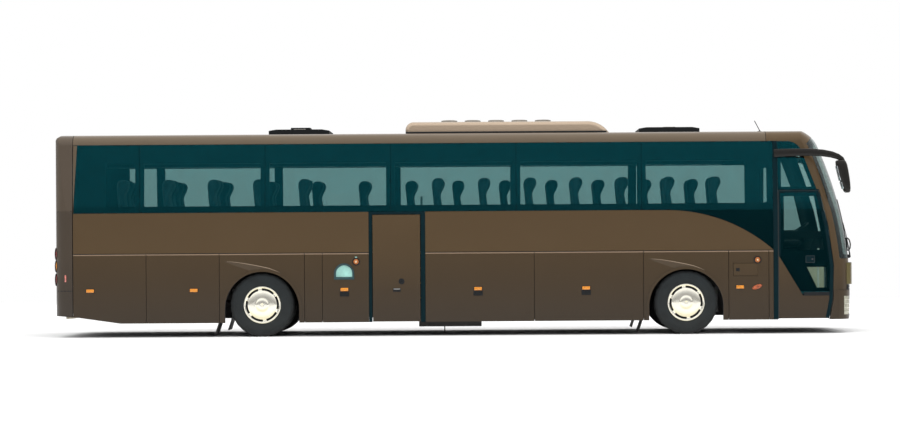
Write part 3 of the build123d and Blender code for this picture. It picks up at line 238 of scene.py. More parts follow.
tyre_steps = 144
wall_line = [
    (0.104, 0.291), (0.112, 0.288), (0.119, 0.294), (0.122, 0.306), (0.129, 0.312), (0.1305, 0.3135),
    (0.133, 0.326), (0.139, 0.348), (0.1435, 0.374), (0.1465, 0.400), (0.1465, 0.412), (0.1445, 0.4125),
    (0.1435, 0.425), (0.1445, 0.4255), (0.142, 0.444), (0.137, 0.466), (0.131, 0.484), (0.125, 0.496),
    (0.117, 0.5045),
]
tread_line = [
    (0.108, 0.5085), (0.082, 0.5098), (0.080, 0.497), (0.068, 0.497), (0.066, 0.5098), (0.030, 0.51),
    (0.028, 0.497), (0.016, 0.497), (0.014, 0.51),
]
half_line = wall_line + tread_line
tyre_line = half_line + [(-out, radius) for out, radius in reversed(half_line)]


def shoulder_notch(index, step):
    """Depth of the notches that cross the outer ribs of the tread."""
    mirrored = min(index, len(tyre_line) - 1 - index)
    return 0.009 if step % 6 in (0, 1) and 16 <= mirrored <= 20 else 0.0


outer_y, inner_y, tread_edge = 1.111, 0.771, 0.468
wheel_sets = [
    ("tyre_front_right", "wheel_front_right", front_axle_x, -1, (outer_y,)),
    ("tyre_front_left", "wheel_front_left", front_axle_x, 1, (outer_y,)),
    ("tyres_rear_right", "wheel_rear_right", rear_axle_x, -1, (outer_y, inner_y)),
    ("tyres_rear_left", "wheel_rear_left", rear_axle_x, 1, (outer_y, inner_y)),
]
for node_name, body, x, side, centres in wheel_sets:
    for count, centre in enumerate(centres):
        label = node_name + ("_outer" if count == 0 else "_inner") + "_rubber"
        hub = (x, side * centre, axle_z)
        tyre = lathe(label, tyre_line, hub, (0, side, 0), tyre_steps, tyre_rubber, body, shoulder_notch,
                     True)
        tyre.data.materials.append(tread_rubber_painted_shade)
        # Faces beyond the tread edge take the darker rubber: painted shade.
        for face in tyre.data.polygons:
            reach = sqrt((face.center.x - hub[0]) ** 2 + (face.center.z - hub[2]) ** 2)
            face.material_index = 1 if reach > tread_edge else 0
        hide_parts(node_name)

# Air springs: convoluted rubber bellows that stand on each axle and carry the rails,
# with a drain pipe from the bay floor.
rail_z, spring_y = 0.755, 0.46
bellow_line = []
for step in range(25):
    height = step / 24
    bellow_line.append((height, 0.104 + 0.014 * abs(sin(3 * pi * height))))
for label, x, foot in (("front", front_axle_x, 0.43), ("rear", rear_axle_x, 0.60)):
    for side, hand in both_sides:
        line = [(foot + (rail_z - foot) * height, radius) for height, radius in bellow_line]
        lathe(f"air_spring_{label}_{hand}", line, (x, side * spring_y, 0), (0, 0, 1), 40, rubber, "body")
rod("drain_pipe", [(-0.19, -0.75, 0.16), (-0.19, -0.75, 0.11), (-0.19, -0.75, 0.05)], 0.009, underseal,
    "body")

# Wheels: pressed steel discs behind bright domed covers, each with six long slots
# round its edge and a raised cap over the hub.
rim_steel = surface("rim_steel", (0.10, 0.10, 0.10), 0.45, metal=0.7, vary=0.25, scale=8.0, dust=0.15)
# The bright metal's base is tinted warm as a painted reflection of the floor.
bright = surface("bright_cover_painted_reflection", (0.93, 0.90, 0.79), 0.14, metal=1.0, vary=0.04, scale=9.0, relief=0.03,
                 dust=0.05)
painted_reflection_tree = bright.node_tree
# Faces of the bright metal that turn downward are tinted warmer still: a painted reflection of the floor,
# on every part in this metal.
geometry = node(painted_reflection_tree, "ShaderNodeNewGeometry")
facing_up = node(painted_reflection_tree, "ShaderNodeSeparateXYZ", {0: geometry.outputs["Normal"]})
floor_reflection_mask = node(painted_reflection_tree, "ShaderNodeMapRange", {
    "Value": facing_up.outputs["Z"], "From Min": -0.14, "From Max": 0.0, "To Min": 0.75, "To Max": 0.0})
worn_bright = painted_reflection_tree.nodes["Principled BSDF"].inputs["Base Color"].links[0].from_socket
painted_floor_reflection = node(painted_reflection_tree, "ShaderNodeMix", {
    0: floor_reflection_mask.outputs[0], 6: worn_bright, 7: (0.78, 0.71, 0.46, 1)}, data_type="RGBA")
painted_reflection_tree.links.new(painted_floor_reflection.outputs[2], painted_reflection_tree.nodes["Principled BSDF"].inputs["Base Color"])
slot_dark = surface("slot_shadow", (0.004, 0.004, 0.004), 0.8, vary=0.2, scale=9.0)
cover_steps = 192
cover_line = [
    (0.105, 0.2955), (0.113, 0.300), (0.122, 0.3005), (0.128, 0.296), (0.130, 0.287), (0.1285, 0.278),
    (0.126, 0.271), (0.1250, 0.267), (0.1250, 0.235), (0.1270, 0.230), (0.1315, 0.212), (0.1355, 0.183),
    (0.1380, 0.150), (0.1390, 0.120), (0.1395, 0.106), (0.1415, 0.100), (0.1455, 0.095), (0.1485, 0.084),
    (0.1500, 0.060), (0.1508, 0.030), (0.1510, 0.0005),
]
slot_ring = 7
slot_period = cover_steps // 6


def cover_slot(index, step):
    """True where one of the six slots opens the cover."""
    return index == slot_ring and step % slot_period < slot_period * 0.77


for node_name, body, x, side, centres in wheel_sets:
    wheel_node = body if "front" in body else body.replace("wheel_", "wheels_")
    axis = (0, side, 0)
    hub = (x, side * centres[0], axle_z)
    cover = lathe(body + "_cover", cover_line, hub, axis, cover_steps, bright, body, skip=cover_slot)
    shell = cover.modifiers.new("sheet", "SOLIDIFY")
    shell.thickness, shell.offset = 0.002, -1
    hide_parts(wheel_node)
    disc_line = [
        (-0.100, 0.285), (-0.108, 0.292), (-0.112, 0.280), (-0.09, 0.268), (0.06, 0.262), (0.092, 0.266),
        (0.104, 0.284), (0.109, 0.289), (0.111, 0.282), (0.100, 0.262), (0.105, 0.235), (0.108, 0.14),
        (0.100, 0.11), (0.06, 0.10),
    ]
    for count, centre in enumerate(centres):
        label = body + ("_disc_outer" if count == 0 else "_disc_inner")
        place = (x, side * centre, axle_z)
        disc = lathe(label, disc_line, place, axis, 96, rim_steel if count else slot_dark, body)
        skin = disc.modifiers.new("sheet", "SOLIDIFY")
        skin.thickness, skin.offset = 0.004, 0
    hub_line = [(-0.16, 0.075), (-0.15, 0.10), (0.02, 0.105), (0.06, 0.10), (0.10, 0.085), (0.10, 0.05)]
    if len(centres) > 1:
        hub_line = [(-0.45, 0.11), (-0.44, 0.14), (-0.24, 0.145), (-0.22, 0.12), *hub_line[1:]]
    lathe(body + "_hub", hub_line, hub, axis, 64, rim_steel, body)

# Floor: plywood boards under flecked vinyl, lower by one step for the driver;
# the stair treads have ribbed nosings.
vinyl = surface("flecked_vinyl", (0.06, 0.06, 0.062), 0.5, vary=0.35, scale=60.0, relief=0.2)
nosing_metal = surface("stair_nosing", (0.55, 0.42, 0.10), 0.45, metal=0.2, vary=0.2, scale=20.0)
dress(vinyl, "floor_deck", "stairs")
deck_z, platform_z = 1.335, 1.0
stair_y, tread_z = 1.195, 0.38
flights = [("front", 5.192, 6.015, 0.665, platform_z, 2), ("middle", -1.37, -0.508, 0.495, deck_z, 4)]
for label, x0, x1, y_end, z_end, count in flights:
    run, rise = (stair_y - y_end) / count, (z_end - tread_z) / count
    for i in range(count):
        y0, z0 = -stair_y + run * (i + 1) - 0.02, tread_z + rise * (i + 1)
        block(f"nosing_{label}_{i}", (x0 + 0.03, x1 - 0.03), (y0 - 0.004, y0 + 0.035),
              (z0 - 0.03, z0 + 0.003), 0.0025, nosing_metal, "body")

# Passenger seats: moulded foam under dark woven cloth, on steel legs,
# with backs that narrow and curve forward at the head.
weave, weave_in, weave_out = shader_group(
    "woven_cloth", [("Warp", "Color"), ("Weft", "Color"), ("Count", "Float")],
    [("Colour", "Color"), ("Normal", "Vector")])
thread = node(weave, "ShaderNodeTexCoord")
strand = {"Vector": thread.outputs["Object"], "Scale": weave_in.outputs["Count"], "Distortion": 0.4}
warp = node(weave, "ShaderNodeTexWave", strand, bands_direction="Y")
weft = node(weave, "ShaderNodeTexWave", strand, bands_direction="Z")
cross = node(weave, "ShaderNodeMath", {0: warp.outputs["Fac"], 1: weft.outputs["Fac"]},
             operation="MULTIPLY")
fleck = node(weave, "ShaderNodeTexNoise", {
    "Vector": thread.outputs["Object"], "Scale": 45.0, "Detail": 3.0})
blend_cloth = node(weave, "ShaderNodeMix", {
    0: fleck.outputs["Fac"], 6: weave_in.outputs["Warp"], 7: weave_in.outputs["Weft"]}, data_type="RGBA")
knit = node(weave, "ShaderNodeBump", {"Height": cross.outputs[0], "Strength": 0.5, "Distance": 0.001})
weave.links.new(blend_cloth.outputs[2], weave_out.inputs["Colour"])
weave.links.new(knit.outputs[0], weave_out.inputs["Normal"])


def cloth(name, warp_colour, weft_colour):
    """Woven upholstery."""
    made = bpy.data.materials.new(name)
    made.use_nodes = True
    tree = made.node_tree
    woven = node(tree, "ShaderNodeGroup", node_tree=weave)
    woven.inputs["Warp"].default_value = (*warp_colour, 1)
    woven.inputs["Weft"].default_value = (*weft_colour, 1)
    woven.inputs["Count"].default_value = 180.0
    shader = tree.nodes["Principled BSDF"]
    tree.links.new(woven.outputs["Colour"], shader.inputs["Base Color"])
    tree.links.new(woven.outputs["Normal"], shader.inputs["Normal"])
    shader.inputs["Roughness"].default_value = 0.9
    shader.inputs["Sheen Weight"].default_value = 0.25
    return made


seat_cloth = cloth("seat_cloth", (0.010, 0.022, 0.030), (0.022, 0.036, 0.045))
head_cloth = cloth("head_cloth", (0.016, 0.018, 0.020), (0.028, 0.030, 0.033))
leg_steel = surface("leg_steel", (0.05, 0.05, 0.052), 0.5, metal=0.5, vary=0.2, scale=10.0)


def ring(centre, across, along, half_a, half_b, power=3.2, count=24):
    """A rounded rectangle of points about a centre, in the plane of two directions."""
    points = []
    for step in range(count):
        turn = 2 * pi * (step + 0.5) / count
        c, s = cos(turn), sin(turn)
        a = half_a * (abs(c) ** (2 / power)) * (1 if c > 0 else -1)
        b = half_b * (abs(s) ** (2 / power)) * (1 if s > 0 else -1)
        points.append(Vector(centre) + Vector(across) * a + Vector(along) * b)
    return points


def loft(bm, rings):
    """Skin a row of rings and close both ends with a crowned cap."""
    rows = [[bm.verts.new(p) for p in points] for points in rings]
    for low_row, high_row in zip(rows[:-1], rows[1:]):
        for i in range(len(low_row)):
            j = (i + 1) % len(low_row)
            bm.faces.new((low_row[i], low_row[j], high_row[j], high_row[i]))
    for row in (rows[0], rows[-1]):
        middle = bm.verts.new(sum((v.co for v in row), Vector()) / len(row))
        for i in range(len(row)):
            bm.faces.new((row[i], row[(i + 1) % len(row)], middle))


# Height over the floor, place of the middle, half depth and half width of a back.
back_rows = [
    (0.40, 0.058, 0.040, 0.185), (0.43, 0.058, 0.062, 0.208), (0.50, 0.054, 0.074, 0.217),
    (0.60, 0.040, 0.071, 0.219), (0.70, 0.028, 0.066, 0.218), (0.80, 0.014, 0.062, 0.214),
    (0.88, 0.004, 0.059, 0.205), (0.94, -0.002, 0.060, 0.188), (0.99, 0.006, 0.070, 0.172),
    (1.04, 0.016, 0.088, 0.164), (1.09, 0.024, 0.101, 0.161), (1.13, 0.028, 0.101, 0.158),
    (1.17, 0.030, 0.086, 0.148), (1.192, 0.032, 0.062, 0.126), (1.202, 0.032, 0.030, 0.09),
]
# Distance ahead of the head, height of the middle, half height and half width of a cushion.
cushion_rows = [
    (0.045, 0.425, 0.035, 0.17), (0.075, 0.425, 0.055, 0.205), (0.16, 0.420, 0.062, 0.215),
    (0.28, 0.417, 0.064, 0.218), (0.40, 0.420, 0.065, 0.218), (0.50, 0.427, 0.062, 0.217),
    (0.555, 0.432, 0.050, 0.21), (0.582, 0.430, 0.028, 0.19),
]


def seat_form(bm, x, y, floor):
    """One seat: a back that curves forward at the head, and its cushion."""
    loft(bm, [ring((x + mid, y, floor + h), (1, 0, 0), (0, 1, 0), deep, wide)
              for h, mid, deep, wide in back_rows])
    loft(bm, [ring((x + out, y, floor + h), (0, 0, 1), (0, 1, 0), high, wide)
              for out, h, high, wide in cushion_rows])


def seat_legs(name, rows, sides, floor):
    """Pedestals, arm rests and rails under a run of seats."""
    for count, x in enumerate(rows):
        y = (sides[0] + sides[1]) / 2
        block(f"{name}_pedestal_{count}", (x + 0.20, x + 0.40), (y - 0.05, y + 0.05),
              (floor + 0.002, floor + 0.36), 0.012, leg_steel, "body")
        block(f"{name}_beam_{count}", (x + 0.10, x + 0.50), (min(sides) - 0.16, max(sides) + 0.16),
              (floor + 0.335, floor + 0.358), 0.008, leg_steel, "body")
        inner = min(sides, key=abs)
        arm_y = inner + (0.226 if inner < 0 else -0.226)
        rod(f"{name}_arm_{count}", [(x + 0.10, arm_y, floor + 0.60), (x + 0.25, arm_y, floor + 0.625),
            (x + 0.40, arm_y, floor + 0.62), (x + 0.44, arm_y, floor + 0.60)], 0.018, leg_steel, "body")


window_y, aisle_y = 0.94, 0.50
row_runs = {"fore": (4.164, 0.745, 7), "aft": (-2.466, 0.733, 5), "left": (3.93, 0.786, 13)}
row_places = {run: [first - pitch * i for i in range(count)]
              for run, (first, pitch, count) in row_runs.items()}
seat_runs = [
    ("seats_right", row_places["fore"] + row_places["aft"], (-window_y, -aisle_y)),
    ("seats_left", row_places["left"], (window_y, aisle_y)),
]
for name, rows, sides in seat_runs:
    bm = bmesh.new()
    for x in rows:
        for y in sides:
            seat_form(bm, x, y, deck_z)
    foam = form(name + "_cloth", bm, seat_cloth, "body", 60)
    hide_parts(name)
    seat_legs(name, rows, sides, deck_z)

# Driver's place: a sprung seat on bellows, the moulded dashboard
# and the steering wheel, all on the lower platform.
dash_plastic = surface("dash_plastic", (0.022, 0.023, 0.025), 0.55, vary=0.15, scale=10.0, relief=0.35)
bm = bmesh.new()
driver_x, driver_y, driver_floor = 5.23, 0.64, platform_z
loft(bm, [ring((driver_x + mid - 0.02, driver_y, driver_floor + h * 0.96), (1, 0, 0), (0, 1, 0), deep,
               wide * 1.05)
          for h, mid, deep, wide in back_rows])
loft(bm, [ring((driver_x + out - 0.03, driver_y, driver_floor + h + 0.02), (0, 0, 1), (0, 1, 0), high,
               wide * 1.08)
          for out, h, high, wide in cushion_rows])
driver_seat = form("driver_seat_cloth", bm, head_cloth, "body", 60)
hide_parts("driver_place")
for step in range(5):
    half = 0.15 + (0.02 if step % 2 else 0.0)
    block(f"driver_bellows_{step}", (driver_x + 0.27 - half, driver_x + 0.27 + half),
          (driver_y - half, driver_y + half),
          (driver_floor + 0.002 + 0.074 * step, driver_floor + 0.074 * (step + 1)), 0.02, rubber, "body")
dress(dash_plastic, "dashboard", "steering_wheel")

# Luggage racks: moulded shelves along the coves over the seats,
# hung from the roof's ribs.
shelf = surface("rack_plastic", (0.05, 0.055, 0.06), 0.5, vary=0.1, scale=8.0, relief=0.2)
dress(shelf, "luggage_racks")

# Body skin: roof, waist, skirts, mask and tail in steel and moulded panels, sprayed
# bronze metallic under clear lacquer; painted shade darkens it low down, and a painted highlight lines the
# skirts' tops.
flake, flake_in, flake_out = shader_group(
    "flake_painted_shade_highlight",
    [("Base", "Color"), ("Bright", "Color"), ("Facing", "Float"), ("Fade Low", "Float"),
     ("Fade High", "Float"), ("Painted Highlight", "Float")],
    [("Colour", "Color"), ("Normal", "Vector")])
spray = node(flake, "ShaderNodeTexCoord")
grain = node(flake, "ShaderNodeTexVoronoi", {"Vector": spray.outputs["Object"], "Scale": 900.0})
cloud = node(flake, "ShaderNodeTexNoise", {"Vector": spray.outputs["Object"], "Scale": 1.3, "Detail": 3.0})
lift = node(flake, "ShaderNodeMath", {0: cloud.outputs["Fac"], 1: 0.12, 2: -0.06}, operation="MULTIPLY_ADD")
edge = node(flake, "ShaderNodeMath", {0: flake_in.outputs["Facing"], 1: lift.outputs[0]}, operation="ADD")
shift = node(flake, "ShaderNodeMix", {
    0: edge.outputs[0], 6: flake_in.outputs["Base"], 7: flake_in.outputs["Bright"]}, data_type="RGBA")
height = node(flake, "ShaderNodeSeparateXYZ", {0: spray.outputs["Object"]})
# Painted shade: the paint is darker towards the bottom, below the fade band.
painted_low_shade = node(flake, "ShaderNodeMapRange", {
    "Value": height.outputs["Z"], "From Min": 0.25, "From Max": 1.33, "To Min": 0.38, "To Max": 0.72})
above = node(flake, "ShaderNodeMapRange", {
    "Value": height.outputs["Z"], "From Min": flake_in.outputs["Fade Low"],
    "From Max": flake_in.outputs["Fade High"]})
shade = node(flake, "ShaderNodeMix", {0: above.outputs[0], 2: painted_low_shade.outputs[0], 3: 1.0}, data_type="FLOAT")
toned = node(flake, "ShaderNodeVectorMath", {0: shift.outputs[2], 3: shade.outputs[0]}, operation="SCALE")
# Painted highlight: a light band along the skirts' top edges, on the paints that ask for it.
highlight_band_mask = node(flake, "ShaderNodeMath", {0: height.outputs["Z"], 1: 1.325, 2: 0.010}, operation="COMPARE")
lit = node(flake, "ShaderNodeMath", {0: highlight_band_mask.outputs[0], 1: flake_in.outputs["Painted Highlight"]}, operation="MULTIPLY")
painted_highlight_colour = node(flake, "ShaderNodeMix", {0: lit.outputs[0], 6: toned.outputs[0], 7: (0.25, 0.175, 0.115, 1)},
             data_type="RGBA")
glint = node(flake, "ShaderNodeBump", {
    "Height": grain.outputs["Distance"], "Strength": 0.03, "Distance": 0.0005})
flake.links.new(painted_highlight_colour.outputs[2], flake_out.inputs["Colour"])
flake.links.new(glint.outputs[0], flake_out.inputs["Normal"])


def lacquer(name, base, brighter, fade=(0.7, 1.9), painted_edge_highlight=0.0, rough=0.40, coat=0.35):
    """Metallic paint: darker head-on, brighter at a glancing look, under a clear coat; painted shade
    darkens it below the fade band, and a painted highlight can line the skirt tops.
    """
    made = bpy.data.materials.new(name)
    made.use_nodes = True
    tree = made.node_tree
    glance = node(tree, "ShaderNodeLayerWeight", {"Blend": 0.35})
    paint = node(tree, "ShaderNodeGroup", {
        "Base": (*base, 1), "Bright": (*brighter, 1), "Facing": glance.outputs["Facing"],
        "Fade Low": fade[0], "Fade High": fade[1], "Painted Highlight": painted_edge_highlight}, node_tree=flake)
    shader = tree.nodes["Principled BSDF"]
    tree.links.new(paint.outputs["Colour"], shader.inputs["Base Color"])
    tree.links.new(paint.outputs["Normal"], shader.inputs["Normal"])
    settings = {"Metallic": 0.55, "Roughness": rough, "Coat Weight": coat, "Coat Roughness": 0.12}
    for label, value in settings.items():
        shader.inputs[label].default_value = value
    return made


bronze_base, bronze_bright = (0.080, 0.048, 0.019), (0.155, 0.105, 0.057)
bronze = lacquer("bronze_lacquer", bronze_base, bronze_bright)
# The side paint turns to painted shade below the groove and carries the painted highlight along the skirt
# tops.
bronze_side = lacquer("bronze_side", bronze_base, bronze_bright, (1.3405, 1.3425), 1.0)
# The roof and coves take a lighter copy of the bronze: painted light where they face the sky.
bronze_roof_painted_light = lacquer("bronze_roof_painted_light", (0.103, 0.074, 0.045), (0.20, 0.155, 0.112))
# The tail paint turns to painted shade below the seam at the cap.
bronze_tail = lacquer("bronze_tail", (0.078, 0.057, 0.039), (0.15, 0.118, 0.086), (2.030, 2.042))
olive = lacquer("olive_nose", (0.12, 0.098, 0.036), (0.20, 0.17, 0.085), (0.1, 0.2))
body_panels = [
    "roof", "front_mask", "front_panel", "front_bumper", "rear_cap", "engine_lid", "rear_bumper",
    "side_panels_right", "side_panels_left", "locker_flap_right", "fuel_flap", "luggage_flap_right_rear",
    "luggage_flap_right_front", "luggage_flap_left_rear", "luggage_flap_left_middle",
    "luggage_flap_left_front", "front_door", "middle_door",
]
dress(bronze, *body_panels)
dress(bronze_roof_painted_light, "roof")
dress(olive, "front_panel")
dress(bronze_tail, "rear_cap", "engine_lid", "rear_bumper")
dress(bronze_side, *[name for name in body_panels if name.startswith(("side_", "locker_", "luggage_"))])
# A thin bead in much lighter bronze runs along the crest of each brow: a painted highlight on the crease.
brow_painted_highlight = lacquer("brow_painted_highlight", (0.27, 0.20, 0.135), (0.42, 0.33, 0.24), (0.1, 0.2), rough=0.28)
skin_y, arch_crown_z = 1.275, 1.089
brow_rows = [  # along, rise, how proud and half width of the line of light on the brow over an arch
    (-0.56, 0.123, 0.002, 0.0012), (-0.469, 0.1156, 0.0055, 0.003), (-0.372, 0.105, 0.008, 0.0042),
    (-0.254, 0.0856, 0.010, 0.0055), (-0.129, 0.062, 0.011, 0.006), (-0.002, 0.0374, 0.0123, 0.006),
    (0.115, 0.010, 0.013, 0.006), (0.202, -0.0221, 0.0132, 0.004), (0.28, -0.056, 0.013, 0.0012),
]
for label, axle in (("front", front_axle_x), ("rear", rear_axle_x)):
    for side, hand in both_sides:
        bm = bmesh.new()
        loft(bm, [ring((axle + along, side * (skin_y + proud), arch_crown_z + rise), (0, 1, 0), (0, 0, 1),
                       half * 0.7, half, 2.0, 12) for along, rise, proud, half in brow_rows])
        form(f"brow_bead_{label}_{hand}", bm, brow_painted_highlight, "body", 60)
lining_and_gap_shade = surface("inner_lining_and_gap_shade", (0.035, 0.035, 0.036), 0.7, vary=0.15, scale=5.0, relief=0.1)
band_black = surface("band_black", (0.0012, 0.012, 0.016), 0.5, vary=0.2, scale=4.0, relief=0.0,
                     sockets={"Specular IOR Level": 0.08})
glass_nodes = ["side_glass_right", "side_glass_left", "windscreen", "rear_window", "front_door_glass"]
glass_points, glass_faces = [], []
for name in glass_nodes:
    start = len(glass_points)
    glass_points += [v.co.copy() for v in cad[name].data.vertices]
    glass_faces += [[start + i for i in face.vertices] for face in cad[name].data.polygons]
glass_tree = BVHTree.FromPolygons(glass_points, glass_faces)
core_low, core_high = Vector((-5.4, 0, 1.0)), Vector((5.3, 0, 2.6))
cover_gap = 0.0015
# Faces turned inward take the dark lining; on the walls of the gaps between panels it is painted shade that
# darkens the seams.
for name in body_panels:
    mesh = cad[name].data
    mesh.materials.append(lining_and_gap_shade)
    mesh.materials.append(band_black)
    for face in mesh.polygons:
        core = Vector(min(max(c, low), high) for c, low, high in zip(face.center, core_low, core_high))
        outward = (face.center - core).normalized()
        near, _, _, gap = glass_tree.find_nearest(face.center)
        if gap < cover_gap and (near - face.center).dot(face.normal) > 0:
            face.material_index = 2
        elif outward.dot(face.normal) < 0.15:
            face.material_index = 1
skirt_seams = {-1: (-4.969, -3.794, -2.426, -2.138, 1.264, 3.016, 4.384, 5.033),
               1: (-4.969, -3.794, -2.426, -0.612, 1.202, 3.016, 4.384, 5.029)}
for side, label in both_sides:
    y = sorted((side * 1.222, side * 1.266))
    spans = [(-6.14, -1.40), (-0.48, 5.10)] if side < 0 else [(-6.14, 5.17)]
    for count, span in enumerate(spans):
        block(f"groove_seal_{label}_{count}", span, y, (1.3356, 1.3464), 0.002, rubber, "body")
    # Dark rubber strips behind the skirt seams close the gaps and darken them: painted shade in the seams.
    y = sorted((side * 1.197, side * 1.211))
    for count, x in enumerate(skirt_seams[side]):
        block(f"seam_shade_strip_{label}_{count}", (x - 0.018, x + 0.018), y, (0.245, 1.328), 0.003, rubber,
              "body")

# Window bands: black-painted steel frames behind flush panes of dark green tint, glued on;
# black print hides the frame's edges, and a painted wedge closes the band at the tail.
dress(band_black, "side_frame_right", "side_frame_left")


def pane(name, tint, rough=0.0, glow=(1, 1, 1)):
    """Clear or tinted glass."""
    made = bpy.data.materials.new(name)
    made.use_nodes = True
    tree = made.node_tree
    shader = tree.nodes["Principled BSDF"]
    batch = node(tree, "ShaderNodeTexNoise", {"Scale": 0.6, "Detail": 2.0})
    deeper = (*[c * 0.92 for c in tint], 1)
    shade = node(tree, "ShaderNodeMix", {0: batch.outputs["Fac"], 6: (*tint, 1), 7: deeper},
                 data_type="RGBA")
    tree.links.new(shade.outputs[2], shader.inputs["Base Color"])
    shader.inputs["Roughness"].default_value = rough
    shader.inputs["Transmission Weight"].default_value = 1.0
    shader.inputs["IOR"].default_value = 1.45
    shader.inputs["Specular Tint"].default_value = (*glow, 1)
    return made


tinted = pane("tinted_glass", (0.33, 0.465, 0.46), glow=(0.06, 0.80, 1.0))
screen_glass = pane("screen_glass", (0.55, 0.68, 0.66))
dress(tinted, "side_glass_right", "side_glass_left", "rear_window", "front_door_glass")
dress(screen_glass, "windscreen")
belt, side_lean = 1.995, tan(radians(3.5))
tail_corner, tail_corner_x = 0.25, -6.2


def flank(side, x, z, out):
    """The side of the body, stood off by an amount: it leans in over the belt and turns in at the tail."""
    turn_in = max(0, tail_corner_x - x)
    reach = skin_y - tail_corner + sqrt((tail_corner + out) ** 2 - turn_in**2)
    return side * (reach - side_lean * max(0, z - belt))


def strip(name, line, half, side, out, material, body):
    """A flat bar on the side of the body along (along, up) points; half may change from point to point."""
    spots = [Vector((x, 0, z)) for x, z in line]
    halves = half if isinstance(half, (list, tuple)) else [half] * len(line)
    rows = []
    for i, (spot, wide) in enumerate(zip(spots, halves)):
        along = (spots[min(i + 1, len(spots) - 1)] - spots[max(i - 1, 0)]).normalized()
        across = Vector((-along.z, 0, along.x)) * wide
        row = []
        for point, reach in ((spot - across, out[0]), (spot + across, out[0]), (spot + across, out[1]),
                             (spot - across, out[1])):
            row.append(Vector((point.x, flank(side, point.x, point.z, reach), point.z)))
        rows.append(row)
    bm = bmesh.new()
    loft(bm, rows)
    return form(name, bm, material, body)


print_low, print_mid, print_top = 2.06, 2.5, 2.98
for part, x, half, line in (("aft", 4.776, 0.129, (print_low, print_mid, print_top)),
                            ("mid", 4.9525, 0.0475, (2.66, print_top)),
                            ("fore", 5.048, 0.048, (print_low, print_mid, print_top))):
    strip(f"frit_{part}_right", [(x, z) for z in line], half, -1, (-0.0125, -0.0105), band_black, "body")
for side, label in both_sides:
    heights = (2.004, 2.3, 2.6, 2.85, 3.088)
    halves = [0.001 + 0.031 * (z - 2.0) / 1.088 for z in heights]
    strip(f"rear_corner_{label}", [(-6.139 + half, z) for half, z in zip(halves, heights)], halves, side,
          (0.0004, 0.0016), bronze_roof_painted_light, "body")

# Doors: leaves on steel arms, with a lock and a sunk handle on the middle one,
# a cross bar, a grab pole and a small push box on the front one.
arm_steel = surface("arm_steel", (0.45, 0.45, 0.45), 0.35, metal=0.9, vary=0.15, scale=12.0)
trim_black = surface("trim_black", (0.006, 0.007, 0.008), 0.45, vary=0.2, scale=8.0, relief=0.2,
                     sockets={"Specular IOR Level": 0.25})
dress(arm_steel, "front_door_arms", "middle_door_arms")


def stand(side, low, high):
    """Two stations across the body, counted outward from its side."""
    return sorted((side * (skin_y + low), side * (skin_y + high)))


lock_line = [(0.0005, 0.047), (0.008, 0.047), (0.011, 0.043), (0.011, 0.024), (0.006, 0.022),
             (0.006, 0.012), (0.009, 0.011), (0.009, 0.0005)]
lathe("middle_door_lock", lock_line, (-0.869, -skin_y, 0.876), (0, -1, 0), 48, trim_black, "middle_door")
block("middle_door_handle_bed", (-1.005, -0.883), stand(-1, 0.0005, 0.008), (0.709, 0.764), 0.003,
      trim_black, "middle_door")
block("middle_door_handle_bar", (-0.997, -0.891), stand(-1, 0.008, 0.020), (0.748, 0.760), 0.004, arm_steel,
      "middle_door")
block("front_door_cross_bar", (5.232, 5.90), stand(-1, -0.045, -0.014), (1.52, 1.64), 0.004, trim_black,
      "front_door")
block("front_door_push_box", (5.617, 5.768), stand(-1, 0.0005, 0.006), (1.133, 1.250), 0.002, band_black,
      "front_door")
lathe("front_door_push_key", [(0.006, 0.015), (0.010, 0.014), (0.011, 0.010), (0.011, 0.0005)],
      (5.728, -skin_y, 1.192), (0, -1, 0), 32, leg_steel, "front_door")
corners = [(5.623, 1.139), (5.6925, 1.139), (5.762, 1.139), (5.762, 1.1915), (5.762, 1.244),
           (5.6925, 1.244), (5.623, 1.244), (5.623, 1.1915), (5.623, 1.139)]
fore_edge = [(5.960, 0.244), (5.993, 0.40), (6.022, 0.55), (6.030, 0.80), (6.038, 1.09), (6.010, 1.30),
             (5.982, 1.50), (5.949, 1.745), (5.905, 1.92), (5.863, 2.09), (5.822, 2.262)]
aft_edge = [(5.206, 1.235), (5.206, 1.70), (5.206, 1.99), (5.206, 2.276)]
aft_gap = [(5.1835, 2.290), (5.1835, 1.99), (5.1835, 1.6), (5.1835, 0.9), (5.1835, 0.238)]
fore_gap = [(5.990, 0.237), (6.022, 0.40), (6.054, 0.56), (6.062, 0.83), (6.069, 1.095)]
head_edge = [(5.191, 2.275), (5.50, 2.275), (5.835, 2.275)]
head_gap = [(5.184, 2.295), (5.50, 2.295), (5.846, 2.295)]
drip_line = [(5.178, 2.306), (5.50, 2.306), (5.842, 2.306)]
sill_line = [(5.586, 0.638), (5.80, 0.638), (6.000, 0.638)]
door_strips = [  # piece, its line, half width, where it stands, material and body
    ("push_rim", corners, 0.0025, (0.006, 0.008), leg_steel, "front_door"),
    ("fore_seal", fore_edge, 0.027, (0.0004, 0.0018), band_black, "front_door"),
    ("aft_seal", aft_edge, 0.015, (0.0004, 0.0016), band_black, "front_door"),
    ("head_seal", head_edge, 0.014, (0.0004, 0.0016), band_black, "front_door"),
    ("drip", drip_line, 0.0105, (0.0004, 0.0022), band_black, "body"),
    ("head_lip", head_gap, 0.0044, (-0.016, -0.002), rubber, "front_door"),
    ("sill_band", sill_line, 0.028, (0.0004, 0.0014), trim_black, "front_door"),
    ("aft_lip", aft_gap, 0.0062, (-0.018, -0.002), rubber, "front_door"),
    ("fore_lip", fore_gap, 0.0042, (-0.020, -0.012), rubber, "front_door"),
]
for part, line, half, out, material, body in door_strips:
    strip("front_door_" + part, line, half, -1, out, material, body)
